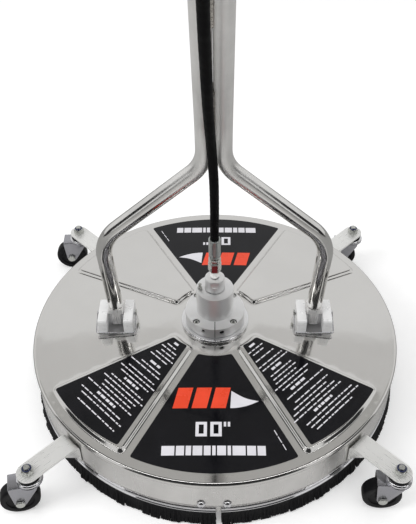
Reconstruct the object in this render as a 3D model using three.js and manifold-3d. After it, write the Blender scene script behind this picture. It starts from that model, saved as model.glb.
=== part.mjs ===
// Rotary surface cleaner: a round stainless deck on four casters, with a spinning spray bar
// under it, a swivel in the middle, and a folding tube handle with a trigger gun.
// Millimetres, +Z up. The operator stands on the -Y side.
import * as THREE from 'three';
import { mergeVertices } from 'three/addons/utils/BufferGeometryUtils.js';
import Module from 'manifold-3d';

const wasm = await Module();
wasm.setup();

// ---------- driving dimensions ----------
const GAP = 0.3; // left between pieces that touch
const DEG = Math.PI / 180;

// deck
const DECK_RADIUS = 305;
const DECK_TOP = 105;
const SHEET = 2;
const RIM_ROLL = 5.5;
const LIP_BOTTOM = 96;
// The cover rises as a shallow cone from the rim's flat band to a level seat for the swivel.
const CONE_RADIUS = 293;
const SEAT_RADIUS = 70;
const SEAT_HEIGHT = 16;
const SEAT_HOLE_RADIUS = 24;
const WALL_RADIUS = DECK_RADIUS - SHEET - GAP;
const WALL_STEP_Z = 46;
const WALL_INSET = 6;
const WALL_BOTTOM = 20;
const HOOP_GAP_ANGLE = 0.8 * DEG; // half of the split at the front and at the back
const HOOP_TURN = 1.15 * DEG; // the front split lies a little to the right
const HOOP_SIDES = 44;
const HOOP_STEPS = 20;
const CHANNEL = { inner: 298.3, outer: 304, bottom: 30, top: 42 };
const BRUSH = { inner: 298.6, outer: 304.6, top: 29.7 };
const WALL_SCREW = { x: 19, z: 52.6, radius: 5.8, height: 3.2, shoulder: 0.85, flat: 0.4 };

// rotary swivel on the deck
const RING = { inner: 30, outer: 56.5, bottom: DECK_TOP + SEAT_HEIGHT + GAP, top: 127.7 };
const FLANGE = { radius: 49, bottom: 128, top: 148 };
const BODY = { radius: 30.5, top: 196 };
const BEARING = { inner: 9.3, outer: 20, height: 12, zs: [132, 168] };
const SEAL = { inner: 6, outer: 12.2, bottom: 184.3, top: 189.7 };
const FLANGE_SCREW = {
  circle: 43, head: 5, counterbore: 5.3, depth: 6, height: 5, socket: 2.6, socketDepth: 2.5, sides: 14,
};
const STEM = { radius: 16, bore: 6.5, bottom: BODY.top + GAP, top: 220, edge: 1.5 };
const NUT = {
  spigot: 6.2, spigotBottom: 206, hexRadius: 10.8, hexBottom: 235, hexTop: 262,
  neck: 7.4, top: 264, sides: 14,
};
const FERRULE = { radius: 9.6, mouth: 8.4, length: 35.5, edge: 1 };
const NIPPLE = { x: -24, y: -3.4, base: 4.2, baseTop: 4, waist: 1.8, tip: 2.2, height: 12 };

// spinning arm under the deck
const SHAFT = { radius: 9, top: 183.7, hubRadius: 20, hubBottom: 38, hubTop: 68, edge: 2 };
const BAR = { radius: 8, wall: 2, half: 268, z: 53 };
const NOZZLE = { x: 260, radius: 7.5, tip: 4, bottom: 26, shoulder: 32 };

// handle brackets on the deck
const CLEVIS = {
  x: 164.5, half: 28.7, gapHalf: 13.5, front: -26.9, back: 26.7, foot: 114, top: 144.4, base: 4, round: 5,
};
const BAIL = { wire: 1.5, side: 31.9, frontY: -29.4, z: CLEVIS.foot + 4.7, bend: 5, rootY: 2, rootZ: 1 };
const PIN_HEAD = { radius: 5.5, thick: 3 };

// handle
const TUBE = { radius: 12.7, bore: 10.7, spacing: 12.85 };
const PIN = { y: 4.6, z: 132.7, radius: 4 };
const LEAN_LOW = 0.0634; // how far the legs lean towards the operator, per millimetre of height
const RUN_ANGLE = 23 * DEG; // lean of the upper run
const ELBOW = { x: 172.2, z: 301.9, bend: 75 };
const CROTCH = { z: 448.2, bend: 58 };
const KINK = { z: 505, bend: 150 };
const BAR_TOP = { z: 955, bend: 48, reach: 177, drop: 24, rise: 35 };
const FOOT = { x: 164.4, z: 143.4 };
const LUG = {
  width: 25, radius: 14, top: 153, front: PIN.y - 14, back: PIN.y + 9, shoulderY: PIN.y + 13, shoulderZ: 147,
};
const GRIP = { radius: 16.5, collar: 19.5, collarThick: 4, slope: 2, length: 118, cap: 3 };

// trigger gun
const GUN = { x: -7.5, at: 760, offset: 62, half: 15, slotHalf: 4.6, inletZ: 158 };
const GUN_OUTLINE = [[-14, 0], [14, 0], [18, 20], [23, 60], [23, 140], [14, 158], [-12, 158], [-22, 148],
  [-50, 128], [-57, 92], [-54, 56], [-38, 26], [-18, 20]];
const GUARD_HOLE = [[-23, 38], [-23, 122], [-43, 114], [-49, 90], [-47, 60], [-36, 36]];
const TRIGGER_OUTLINE = [[-8, 112], [-8, 124], [-18, 124], [-24, 118], [-28, 96], [-33, 74], [-42, 50],
  [-38, 44], [-33, 50], [-25, 76], [-19, 100]];
const TRIGGER = { half: 4.2, pinY: -13, pinZ: 118, pin: 2.4, pinHalf: 11 };
const TRIGGER_SLOT = { y0: -24, y1: -4, z0: 62, z1: 130 };
const GUN_BRACKET = { half: 14.5, wall: 3, front: 23.3, bottom: 62, top: 128 };
const GUN_INLET = { hexRadius: 11, hexHeight: 16, radius: 7.5, height: 40 };
const UPPER_NUT = { height: 26.5 };

// hose: its middle line from the swivel up to the gun, hand-placed
const HOSE_RADIUS = 7;
const HOSE_SIDES = 8;
const HOSE_STEPS = 36;
const HOSE_ROUTE = [
  [0, 0, 195.1], [0, -0.5, 210], [0.3, -4, 245], [0.3, -12, 280], [0, -23.5, 315], [-1.2, -37, 356],
  [-3, -54, 400], [-4.6, -75, 440], [-5.8, -97, 482], [-6.6, -121, 526], [-7.1, -144, 568],
  [-7.4, -167, 608], [-7.5, -186.5, 644], [-7.5, -198.6, 664.5], [-7.5, -204.5, 678.3],
].map(([x, y, z]) => new THREE.Vector3(x, y, DECK_TOP + z));

// casters
const CASTER_OFFSET = 271;
const CASTER_REACH = CASTER_OFFSET * Math.SQRT2;
const ARM = { half: 17, thick: 3, top: 85.5, flangeX: 303.4, flangeBottom: 46, bend: 9, hole: 5.3 };
const GUSSET = { thick: 2.2, run: 24, drop: 24, sink: 0.5, inset: 1 };
const CASTER_BOLT = {
  race: 13, stem: 7, shank: 5, nut: 9.8, nutHeight: 10.6, top: 99, rivet: 10, rivetHeight: 4,
  crown: 8.2, crownTop: 6.9, crownHeight: 2,
};
const WHEEL = { radius: 30, half: 10.5, bore: 5.3, trail: 20, shoulder: 8, dish: 20, side: 27.5 };
const FORK = {
  inner: 11.8, sheet: 2, top: 69, ringRadius: 19.7, ringTop: 75, hole: 7.8, plateFront: 32, plateBack: -9,
  skirt: 8, footRadius: 8,
};
const AXLE = { radius: 5, head: 7, headThick: 4 };
const CASTERS = [
  { name: 'front_left', sx: -1, sy: -1, trail: 193 },
  { name: 'front_right', sx: 1, sy: -1, trail: 178 },
  { name: 'back_left', sx: -1, sy: 1, trail: 182 },
  { name: 'back_right', sx: 1, sy: 1, trail: 187 },
];

// ---------- materials ----------
const material = (color, metalness, roughness) =>
  new THREE.MeshStandardMaterial({ color, metalness, roughness });
const stainless = () => material(0xc9c8c4, 1, 0.22);
const aluminium = () => material(0xe2e2e0, 1, 0.35);
const chrome = () => material(0xd9dadd, 1, 0.1);
const zinc = () => material(0xb9bbb5, 1, 0.3);
const brass = () => material(0xc8a45a, 1, 0.3);
const bearingSteel = () => material(0xa9adb2, 1, 0.2);
const blackRubber = () => material(0x141517, 0, 0.6);
const blackNylon = () => material(0x0d0e10, 0, 0.8);
const blackPlastic = () => material(0x17181b, 0, 0.45);
const redPlastic = () => material(0xb3261c, 0, 0.4);

// ---------- shape helpers ----------
const vector = (x, y, z) => new THREE.Vector3(x, y, z);

function toSolid(geometry) {
  const bare = (geometry.index ? geometry.toNonIndexed() : geometry.clone());
  bare.deleteAttribute('normal');
  bare.deleteAttribute('uv');
  const merged = mergeVertices(bare, 1e-4);
  const triangles = [];
  for (let i = 0; i < merged.index.count; i += 3) {
    const [a, b, c] = [0, 1, 2].map((k) => merged.index.getX(i + k));
    if (a !== b && b !== c && c !== a) triangles.push(a, b, c);
  }
  return new wasm.Manifold(new wasm.Mesh({
    numProp: 3,
    vertProperties: new Float32Array(merged.attributes.position.array),
    triVerts: new Uint32Array(triangles),
  }));
}

function toGeometry(solid) {
  const mesh = solid.getMesh();
  const geometry = new THREE.BufferGeometry();
  geometry.setAttribute('position', new THREE.BufferAttribute(new Float32Array(mesh.vertProperties), 3));
  geometry.setIndex(new THREE.BufferAttribute(new Uint32Array(mesh.triVerts), 1));
  return geometry;
}

const joined = (...geometries) => toGeometry(geometries.map(toSolid).reduce((a, b) => a.add(b)));
const cut = (base, ...tools) => toGeometry(tools.map(toSolid).reduce((a, b) => a.subtract(b), toSolid(base)));

// A profile of [radius, height] points turned round Z. It lists its outline going up the outside.
function turned(profile, sides) {
  const points = profile.map(([r, z]) => new THREE.Vector2(r, z));
  return new THREE.LatheGeometry(points, sides).rotateX(Math.PI / 2);
}

// A turned ring: the profile closes on itself instead of on the axis.
const turnedRing = (profile, sides) => turned([...profile, profile[0]], sides);

const cylinder = (radius, bottom, top, sides = 16, topRadius = radius) =>
  new THREE.CylinderGeometry(topRadius, radius, top - bottom, sides).rotateX(Math.PI / 2)
    .translate(0, 0, (bottom + top) / 2);

const box = (x0, x1, y0, y1, z0, z1) =>
  new THREE.BoxGeometry(x1 - x0, y1 - y0, z1 - z0).translate((x0 + x1) / 2, (y0 + y1) / 2, (z0 + z1) / 2);

// A round rod along X, from -half to +half.
const acrossRod = (radius, half, sides) => cylinder(radius, -half, half, sides).rotateY(Math.PI / 2);

// A flat outline of [x, y] points as a shape, with an optional hole.
function outline(points, hole) {
  const shape = new THREE.Shape(points.map(([x, y]) => new THREE.Vector2(x, y)));
  if (hole) shape.holes.push(new THREE.Path(hole.map(([x, y]) => new THREE.Vector2(x, y))));
  return shape;
}

const extruded = (shape, depth, curveSegments = 8) =>
  new THREE.ExtrudeGeometry(shape, { depth, bevelEnabled: false, curveSegments });

// An outline of [y, z] points made into a plate across X, from -half to +half.
function acrossX(points, half, hole) {
  const turn = new THREE.Matrix4().makeBasis(vector(0, 1, 0), vector(0, 0, 1), vector(1, 0, 0));
  return extruded(outline(points, hole), 2 * half).translate(0, 0, -half).applyMatrix4(turn);
}

// An outline of [x, z] points made into a plate across Y, from y0 to y1.
function acrossY(points, y0, y1) {
  return extruded(outline(points), y1 - y0).rotateX(Math.PI / 2).translate(0, y1, 0);
}

// A curve that keeps exactly the stations it is given, one extrusion step for each.
class StationCurve extends THREE.Curve {
  constructor(stations) {
    super();
    this.stations = stations;
  }

  getPoint(t, target = new THREE.Vector3()) {
    const last = this.stations.length - 1;
    const place = THREE.MathUtils.clamp(t, 0, 1) * last;
    const i = Math.min(Math.floor(place), last - 1);
    return target.lerpVectors(this.stations[i], this.stations[i + 1], place - i);
  }

  getPointAt(t, target) {
    return this.getPoint(t, target);
  }

  getTangentAt(t, target) {
    return this.getTangent(t, target);
  }
}

// A straight-sided route through the corners, each rounded to its bend radius.
function roundedRoute(corners, bends, steps) {
  const stations = [corners[0].clone()];
  for (let i = 1; i < corners.length - 1; i++) {
    const back = corners[i - 1].clone().sub(corners[i]).normalize();
    const ahead = corners[i + 1].clone().sub(corners[i]).normalize();
    const turn = Math.PI - back.angleTo(ahead);
    const tangent = bends[i - 1] * Math.tan(turn / 2);
    const centre = back.clone().add(ahead).normalize()
      .multiplyScalar(bends[i - 1] / Math.cos(turn / 2)).add(corners[i]);
    const from = back.clone().multiplyScalar(tangent).add(corners[i]).sub(centre);
    const axis = new THREE.Vector3().crossVectors(back.clone().negate(), ahead).normalize();
    for (let k = 0; k <= steps; k++) {
      stations.push(from.clone().applyAxisAngle(axis, turn * k / steps).add(centre));
    }
  }
  stations.push(corners[corners.length - 1].clone());
  return stations;
}

function circleShape(radius, sides, bore = 0, boreSides = sides) {
  const ring = (r, n) => Array.from({ length: n }, (_, i) => {
    const a = 2 * Math.PI * i / n;
    return [r * Math.cos(a), r * Math.sin(a)];
  });
  return outline(ring(radius, sides), bore ? ring(bore, boreSides) : undefined);
}

const swept = (stations, shape) => new THREE.ExtrudeGeometry(shape, {
  steps: stations.length - 1,
  extrudePath: new StationCurve(stations),
});

// Half a hoop between two radii, on the side of X that sign names, split at the front and back.
function halfHoop(inner, outer, bottom, top, sign) {
  const from = -Math.PI / 2 + HOOP_GAP_ANGLE;
  const to = Math.PI / 2 - HOOP_GAP_ANGLE;
  const shape = new THREE.Shape();
  shape.absarc(0, 0, outer, from, to, false);
  shape.absarc(0, 0, inner, to, from, true);
  const hoop = extruded(shape, top - bottom, HOOP_STEPS).translate(0, 0, bottom);
  return hoop.rotateZ(HOOP_TURN + (sign > 0 ? 0 : Math.PI));
}

const part = new THREE.Group();

function add(name, geometry, look, parent = part) {
  const mesh = new THREE.Mesh(geometry, look);
  mesh.name = name;
  parent.add(mesh);
  return mesh;
}

// ---------- deck ----------
function quarterArc(cx, cz, radius, from, to, steps) {
  return Array.from({ length: steps + 1 }, (_, i) => {
    const a = (from + (to - from) * i / steps) * DEG;
    return [cx + radius * Math.cos(a), cz + radius * Math.sin(a)];
  });
}

function deckCover() {
  const rollX = DECK_RADIUS - RIM_ROLL;
  const rollZ = DECK_TOP - RIM_ROLL;
  const seat = DECK_TOP + SEAT_HEIGHT;
  return turnedRing([
    [SEAT_HOLE_RADIUS, seat - SHEET],
    [SEAT_RADIUS, seat - SHEET],
    [CONE_RADIUS, DECK_TOP - SHEET],
    ...quarterArc(rollX, rollZ, RIM_ROLL - SHEET, 90, 0, 1),
    [DECK_RADIUS - SHEET, LIP_BOTTOM],
    [DECK_RADIUS, LIP_BOTTOM],
    ...quarterArc(rollX, rollZ, RIM_ROLL, 0, 90, 2),
    [CONE_RADIUS, DECK_TOP],
    [SEAT_RADIUS, seat],
    [SEAT_HOLE_RADIUS, seat],
  ], HOOP_SIDES);
}

function sideWall() {
  const top = DECK_TOP - RIM_ROLL;
  const lower = WALL_RADIUS - WALL_INSET;
  return turnedRing([
    [lower - SHEET, WALL_BOTTOM],
    [lower, WALL_BOTTOM],
    [lower, WALL_STEP_Z - SHEET],
    [WALL_RADIUS, WALL_STEP_Z],
    [WALL_RADIUS, top],
    [WALL_RADIUS - SHEET, top],
    [WALL_RADIUS - SHEET, WALL_STEP_Z + SHEET],
    [lower - SHEET, WALL_STEP_Z],
  ], HOOP_SIDES);
}

function wallScrew() {
  const s = WALL_SCREW;
  return turned([
    [0, 0], [s.radius, 0], [s.radius * s.shoulder, s.height * 0.6],
    [s.radius * s.flat, s.height], [0, s.height],
  ], 12).rotateX(Math.PI / 2);
}

function addDeck() {
  add('deck_cover', deckCover(), stainless());
  add('side_wall', sideWall(), stainless());
  const faceY = -(WALL_RADIUS + 2 * GAP);
  for (const [side, sign] of [['left', -1], ['right', 1]]) {
    const channel = halfHoop(CHANNEL.inner, CHANNEL.outer, CHANNEL.bottom, CHANNEL.top, sign);
    add(`brush_channel_${side}`, channel, aluminium());
    add(`brush_strip_${side}`, halfHoop(BRUSH.inner, BRUSH.outer, 0, BRUSH.top, sign), blackNylon());
    const screw = add(`wall_screw_${side}`, wallScrew(), chrome());
    screw.position.set(sign * WALL_SCREW.x, faceY, WALL_SCREW.z);
  }
}

// ---------- rotary swivel ----------
function baseRing() {
  const r = RING;
  return turnedRing([
    [r.inner, r.bottom], [r.outer - 2, r.bottom], [r.outer, r.bottom + 2], [r.outer, r.top - 3],
    [r.outer - 3, r.top - 0.6], [FLANGE.radius, r.top], [r.inner, r.top],
  ], 28);
}

function screwPlaces() {
  const { circle } = FLANGE_SCREW;
  return [45, 135, 225, 315].map((a) => [circle * Math.cos(a * DEG), circle * Math.sin(a * DEG)]);
}

function swivelHousing() {
  const bearingBore = BEARING.outer + GAP;
  const sealBore = SEAL.outer + GAP;
  const shell = turnedRing([
    [bearingBore, FLANGE.bottom], [FLANGE.radius - 1, FLANGE.bottom], [FLANGE.radius, FLANGE.bottom + 1],
    [FLANGE.radius, FLANGE.top - 1], [FLANGE.radius - 1, FLANGE.top], [BODY.radius, FLANGE.top],
    [BODY.radius, BODY.top - 1], [BODY.radius - 1, BODY.top], [STEM.bore, BODY.top],
    [STEM.bore, SEAL.top + GAP], [sealBore, SEAL.top + GAP], [sealBore, SEAL.bottom - GAP],
    [bearingBore, SEAL.bottom - GAP],
  ], 28);
  const { counterbore, depth, sides } = FLANGE_SCREW;
  const pocket = cylinder(counterbore, FLANGE.top - depth, FLANGE.top + 1, sides);
  return cut(shell, ...screwPlaces().map(([x, y]) => pocket.clone().translate(x, y, 0)));
}

function flangeScrew() {
  const s = FLANGE_SCREW;
  const bottom = FLANGE.top - s.depth + GAP;
  const top = bottom + s.height;
  return cut(cylinder(s.head, bottom, top, s.sides), cylinder(s.socket, top - s.socketDepth, top + 1, 6));
}

function greaseNipple() {
  const n = NIPPLE;
  const stalk = turned([
    [0, n.baseTop - 1], [n.base - 1, n.baseTop - 1], [n.waist, n.height - 4], [n.tip, n.height - 2],
    [n.tip / 2, n.height], [0, n.height],
  ], 10);
  return joined(cylinder(n.base, 0, n.baseTop, 6), stalk);
}

const ringBlock = (inner, outer, bottom, top, sides) =>
  turnedRing([[inner, bottom], [outer, bottom], [outer, top], [inner, top]], sides);

function hoseNut() {
  const n = NUT;
  return joined(cylinder(n.spigot, n.spigotBottom, n.hexBottom + 1, n.sides),
    cylinder(n.hexRadius, n.hexBottom, n.hexTop, 6), cylinder(n.neck, n.hexTop - 1, n.top, n.sides));
}

// A crimped hose end, standing on z = 0, with a mouth that the hose meets.
function ferrule() {
  const { radius, mouth, length, edge } = FERRULE;
  return turned([
    [0, 0], [radius - edge, 0], [radius, edge], [radius, length - 2 * edge], [mouth, length], [0, length],
  ], 14);
}

function inletStem() {
  const { radius, bore, bottom, top, edge } = STEM;
  return turnedRing([
    [bore, bottom], [radius, bottom], [radius, top - edge], [radius - edge, top], [bore, top],
  ], 28);
}

function addSwivel() {
  add('hub_base_ring', baseRing(), chrome());
  add('swivel_housing', swivelHousing(), aluminium());
  screwPlaces().forEach(([x, y], i) => {
    add(`flange_screw_${i + 1}`, flangeScrew(), zinc()).position.set(x, y, 0);
  });
  add('grease_nipple', greaseNipple(), zinc()).position.set(NIPPLE.x, NIPPLE.y, BODY.top + GAP);
  BEARING.zs.forEach((z, i) => {
    const bearing = ringBlock(BEARING.inner, BEARING.outer, z, z + BEARING.height, 20);
    add(['lower_bearing', 'upper_bearing'][i], bearing, bearingSteel());
  });
  add('shaft_seal', ringBlock(SEAL.inner, SEAL.outer, SEAL.bottom, SEAL.top, 16), blackRubber());
  add('inlet_stem', inletStem(), aluminium());
  add('hose_nut', hoseNut(), zinc());
  add('hose_ferrule_lower', ferrule(), zinc()).position.z = NUT.top + GAP;
}

// ---------- spinning arm ----------
function rotorShaft() {
  const s = SHAFT;
  const body = turned([
    [0, s.hubBottom], [s.hubRadius - s.edge, s.hubBottom], [s.hubRadius, s.hubBottom + s.edge],
    [s.hubRadius, s.hubTop - s.edge], [s.hubRadius - s.edge, s.hubTop], [s.radius, s.hubTop],
    [s.radius, s.top], [0, s.top],
  ], 20);
  return cut(body, acrossRod(BAR.radius + GAP, s.hubRadius + 1, 16).translate(0, 0, BAR.z));
}

function nozzle() {
  const { tip, radius, bottom, shoulder } = NOZZLE;
  const top = BAR.z - BAR.radius - GAP;
  return turned([[0, bottom], [tip, bottom], [radius, shoulder], [radius, top], [0, top]], 12);
}

function addRotor() {
  add('rotor_shaft', rotorShaft(), bearingSteel());
  add('spray_bar', swept([vector(-BAR.half, 0, BAR.z), vector(BAR.half, 0, BAR.z)],
    circleShape(BAR.radius, 16, BAR.radius - BAR.wall, 10)), stainless());
  for (const [side, sign] of [['left', -1], ['right', 1]]) {
    add(`nozzle_${side}`, nozzle(), brass()).position.x = sign * NOZZLE.x;
  }
}

// ---------- handle ----------
const legY = (z) => PIN.y - LEAN_LOW * (z - PIN.z);
const runY = (z) => legY(KINK.z) - Math.tan(RUN_ANGLE) * (z - KINK.z);

function tubeCorners(sign) {
  const close = sign * TUBE.spacing;
  const barY = runY(BAR_TOP.z);
  return [
    vector(sign * FOOT.x, legY(FOOT.z), FOOT.z),
    vector(sign * ELBOW.x, legY(ELBOW.z), ELBOW.z),
    vector(close, legY(CROTCH.z), CROTCH.z),
    vector(close, legY(KINK.z), KINK.z),
    vector(close, barY, BAR_TOP.z),
    vector(close + sign * BAR_TOP.reach, barY - BAR_TOP.drop, BAR_TOP.z + BAR_TOP.rise),
  ];
}

// The bracket end of a handle tube: a block with a round foot about the pin and a heel that
// stands on the bracket's base, which stops the handle from falling further forward.
function handleLug(sign) {
  const heelZ = CLEVIS.foot + CLEVIS.base + 2 * GAP;
  const points = [
    [LUG.front, heelZ], [PIN.y, heelZ], ...quarterArc(PIN.y, PIN.z, LUG.radius, -88, 0, 5),
    [LUG.shoulderY, LUG.shoulderZ], [LUG.back, LUG.top], [LUG.front, LUG.top],
  ];
  return acrossX(points, LUG.width / 2).translate(sign * CLEVIS.x, 0, 0);
}

function handleTube(sign) {
  const stations = roundedRoute(tubeCorners(sign), [ELBOW.bend, CROTCH.bend, KINK.bend, BAR_TOP.bend], 4);
  const tube = swept(stations, circleShape(TUBE.radius, 10, TUBE.bore, 6));
  const pinHole = acrossRod(PIN.radius + GAP, LUG.width, 12).translate(sign * CLEVIS.x, PIN.y, PIN.z);
  return cut(joined(tube, handleLug(sign)), pinHole);
}

function handGrip() {
  const g = GRIP;
  const inner = TUBE.radius + GAP;
  return turned([
    [0, g.length + GAP], [inner, g.length + GAP], [inner, 0], [g.collar, 0], [g.collar, g.collarThick],
    [g.radius, g.collarThick + g.slope], [g.radius, g.length], [g.radius - g.slope, g.length + g.cap],
    [0, g.length + g.cap],
  ], 16);
}

function gripPlace(sign) {
  const corners = tubeCorners(sign);
  const end = corners[corners.length - 1];
  const along = end.clone().sub(corners[corners.length - 2]).normalize();
  return { start: end.clone().addScaledVector(along, -GRIP.length), along };
}

// The gun's own frame: z runs up the handle, y points back to the tubes, its outlet is at the origin.
function gunFrame() {
  const group = new THREE.Group();
  const z = DECK_TOP + GUN.at;
  group.position.set(GUN.x, runY(z) - GUN.offset * Math.cos(RUN_ANGLE), z - GUN.offset * Math.sin(RUN_ANGLE));
  group.rotation.x = RUN_ANGLE;
  return group;
}

function gunBody() {
  const t = TRIGGER;
  const s = TRIGGER_SLOT;
  const slot = box(-GUN.slotHalf, GUN.slotHalf, s.y0, s.y1, s.z0, s.z1);
  const pinHole = acrossRod(t.pin + GAP, t.pinHalf + GAP, 10).translate(0, t.pinY, t.pinZ);
  return cut(acrossX(GUN_OUTLINE, GUN.half, GUARD_HOLE), slot, pinHole);
}

function gunTrigger() {
  const t = TRIGGER;
  const pin = acrossRod(t.pin, t.pinHalf, 10).translate(0, t.pinY, t.pinZ);
  return joined(acrossX(TRIGGER_OUTLINE, t.half), pin);
}

function gunBracket() {
  const b = GUN_BRACKET;
  const rear = GUN.offset - TUBE.radius - GAP;
  const inner = b.half - b.wall;
  const floor = b.front + b.wall;
  const shape = outline([
    [-b.half, b.front], [b.half, b.front], [b.half, rear], [inner, rear],
    [inner, floor], [-inner, floor], [-inner, rear], [-b.half, rear],
  ]);
  return extruded(shape, b.top - b.bottom).translate(-GUN.x, 0, b.bottom);
}

function gunInlet() {
  const g = GUN_INLET;
  const hexTop = GUN.inletZ + g.hexHeight;
  return joined(cylinder(g.hexRadius, GUN.inletZ + GAP, hexTop, 6),
    cylinder(g.radius, hexTop - 1, GUN.inletZ + g.height, 14));
}

function upperHoseEnd() {
  const crimped = ferrule().rotateX(Math.PI).translate(0, 0, -UPPER_NUT.height);
  return joined(crimped, cylinder(NUT.hexRadius, -UPPER_NUT.height - 1, -GAP, 6));
}

function addHandle() {
  for (const [side, sign] of [['left', -1], ['right', 1]]) {
    add(`handle_tube_${side}`, handleTube(sign), stainless());
    const { start, along } = gripPlace(sign);
    const grip = add(`hand_grip_${side}`, handGrip(), blackRubber());
    grip.position.copy(start);
    grip.quaternion.setFromUnitVectors(vector(0, 0, 1), along);
  }
  const gun = gunFrame();
  part.add(gun);
  add('gun_body', gunBody(), blackPlastic(), gun);
  add('gun_trigger', gunTrigger(), redPlastic(), gun);
  add('gun_bracket', gunBracket(), stainless(), gun);
  add('gun_inlet', gunInlet(), brass(), gun);
  add('hose_end_upper', upperHoseEnd(), zinc(), gun);
  const route = new THREE.CatmullRomCurve3(HOSE_ROUTE, false, 'centripetal').getSpacedPoints(HOSE_STEPS);
  add('pressure_hose', swept(route, circleShape(HOSE_RADIUS, HOSE_SIDES)), blackRubber());
}

// ---------- handle brackets ----------
// The deck's cone, raised by the usual gap: what a bracket's underside is cut to.
function coneUnderBrackets() {
  const low = DECK_TOP + GAP;
  const high = low + SEAT_HEIGHT;
  return turned([[0, 0], [CONE_RADIUS, 0], [CONE_RADIUS, low], [SEAT_RADIUS, high], [0, high]], HOOP_SIDES);
}

function clevis(sign) {
  const c = CLEVIS;
  const roundZ = c.top - c.round;
  const side = [
    [c.front, DECK_TOP], [c.back, DECK_TOP],
    ...quarterArc(c.back - c.round, roundZ, c.round, 0, 90, 2),
    ...quarterArc(c.front + c.round, roundZ, c.round, 90, 180, 3),
  ];
  const block = acrossX(side, c.half);
  const gap = box(-c.gapHalf, c.gapHalf, c.front - 1, c.back + 1, c.foot + c.base, c.top + 1);
  const pinHole = acrossRod(PIN.radius + GAP, c.half + 1, 14).translate(0, PIN.y, PIN.z);
  const tools = [block, gap, pinHole].map((shape) => shape.translate(sign * c.x, 0, 0));
  return cut(...tools, coneUnderBrackets());
}

// The quick-release pin with its square wire bail, which snaps round the front of the bracket.
function lockPin(sign) {
  const b = BAIL;
  const { radius, thick } = PIN_HEAD;
  const pin = acrossRod(PIN.radius, b.side + 1, 14).translate(0, PIN.y, PIN.z);
  const head = acrossRod(radius, thick / 2, 14).translate(-sign * (CLEVIS.half + thick), PIN.y, PIN.z);
  const root = (x) => vector(x, PIN.y + b.rootY, PIN.z + b.rootZ);
  const tip = (x) => vector(x, b.frontY, b.z);
  const corners = [root(b.side), tip(b.side), tip(-b.side), root(-b.side)];
  const wire = swept(roundedRoute(corners, [b.bend, b.bend], 4), circleShape(b.wire, 6));
  return joined(pin, head, wire).translate(sign * CLEVIS.x, 0, 0);
}

function addBrackets() {
  for (const [side, sign] of [['left', -1], ['right', 1]]) {
    add(`clevis_${side}`, clevis(sign), aluminium());
    add(`lock_pin_${side}`, lockPin(sign), chrome());
  }
}

// ---------- casters ----------
// In an arm's own frame x points out from the deck's axis. The caster turns about x = CASTER_REACH.
function casterArm() {
  const a = ARM;
  const bottom = a.top - a.thick;
  const side = [[a.flangeX, a.flangeBottom], [a.flangeX + a.thick, a.flangeBottom],
    ...quarterArc(a.flangeX + a.bend, a.top - a.bend, a.bend - a.thick, 180, 90, 3),
    [CASTER_REACH, bottom], [CASTER_REACH, a.top],
    ...quarterArc(a.flangeX + a.bend, a.top - a.bend, a.bend, 90, 180, 3)];
  const { run, drop, thick, sink, inset } = GUSSET;
  const rootX = a.flangeX + a.thick - sink;
  const rootZ = bottom + sink;
  const gusset = (y) => acrossY([[rootX, bottom - drop], [rootX + run, rootZ], [rootX, rootZ]], y, y + thick);
  const gussets = [gusset(inset - a.half), gusset(a.half - inset - thick)];
  const roundEnd = cylinder(a.half, bottom, a.top, 24).translate(CASTER_REACH, 0, 0);
  const hole = cylinder(a.hole, bottom - 1, a.top + 1, 14).translate(CASTER_REACH, 0, 0);
  return cut(joined(acrossY(side, -a.half, a.half), roundEnd, ...gussets), hole);
}

// One bolt with its upper race under the arm, its nut on top, and a rivet head inside the fork.
function casterBolt() {
  const b = CASTER_BOLT;
  const armBottom = ARM.top - ARM.thick;
  const plateBottom = FORK.top - FORK.sheet;
  const rivetBottom = plateBottom - b.rivetHeight;
  const turnedPart = turned([
    [0, rivetBottom], [b.rivet - 2, rivetBottom], [b.rivet, plateBottom - GAP], [b.stem, plateBottom - GAP],
    [b.stem, FORK.ringTop + GAP], [b.race, FORK.ringTop + GAP], [b.race - 2, armBottom - GAP],
    [b.shank, armBottom - GAP], [b.shank, b.top - 1], [b.shank - 1, b.top], [0, b.top],
  ], 10);
  const nutBottom = ARM.top + GAP;
  const crownBottom = nutBottom + b.nutHeight - b.crownHeight;
  return joined(turnedPart, cylinder(b.nut, nutBottom, crownBottom, 6),
    cylinder(b.crown, crownBottom - 0.5, nutBottom + b.nutHeight, 10, b.crownTop));
}

// In a fork's own frame the swivel axis is x = 0, and the wheel trails on the +x side.
function fork() {
  const f = FORK;
  const { trail, radius } = WHEEL;
  const cheek = [
    [f.plateBack, f.top - 1], [f.plateBack, f.top - f.skirt - 1], [trail - f.footRadius, radius - 5],
    ...quarterArc(trail, radius - 1, f.footRadius, 205, 340, 4),
    [f.plateFront, f.top - f.skirt], [f.plateFront, f.top - 1],
  ];
  const outer = f.inner + f.sheet;
  const plate = joined(box(f.plateBack, f.plateFront, -outer, outer, f.top - f.sheet, f.top),
    cylinder(f.ringRadius, f.top - f.sheet, f.top, 16));
  const ring = cylinder(f.ringRadius - 1, f.top - 0.5, f.ringTop, 16, f.ringRadius - 2.5);
  const cheeks = [acrossY(cheek, f.inner, outer), acrossY(cheek, -outer, -f.inner)];
  const stemHole = cylinder(f.hole, f.top - f.sheet - 1, f.ringTop + 1, 12);
  const axleHole = acrossRod(AXLE.radius + GAP, outer + 1, 10).rotateZ(Math.PI / 2);
  axleHole.translate(trail, 0, radius);
  return cut(joined(plate, ring, ...cheeks), stemHole, axleHole);
}

function axle() {
  const seat = FORK.inner + FORK.sheet + GAP;
  const end = seat + AXLE.headThick;
  const { radius, head } = AXLE;
  return turned([
    [0, -end], [head, -end], [head, -seat], [radius, -seat],
    [radius, seat], [head, seat], [head, end], [0, end],
  ], 10);
}

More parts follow.
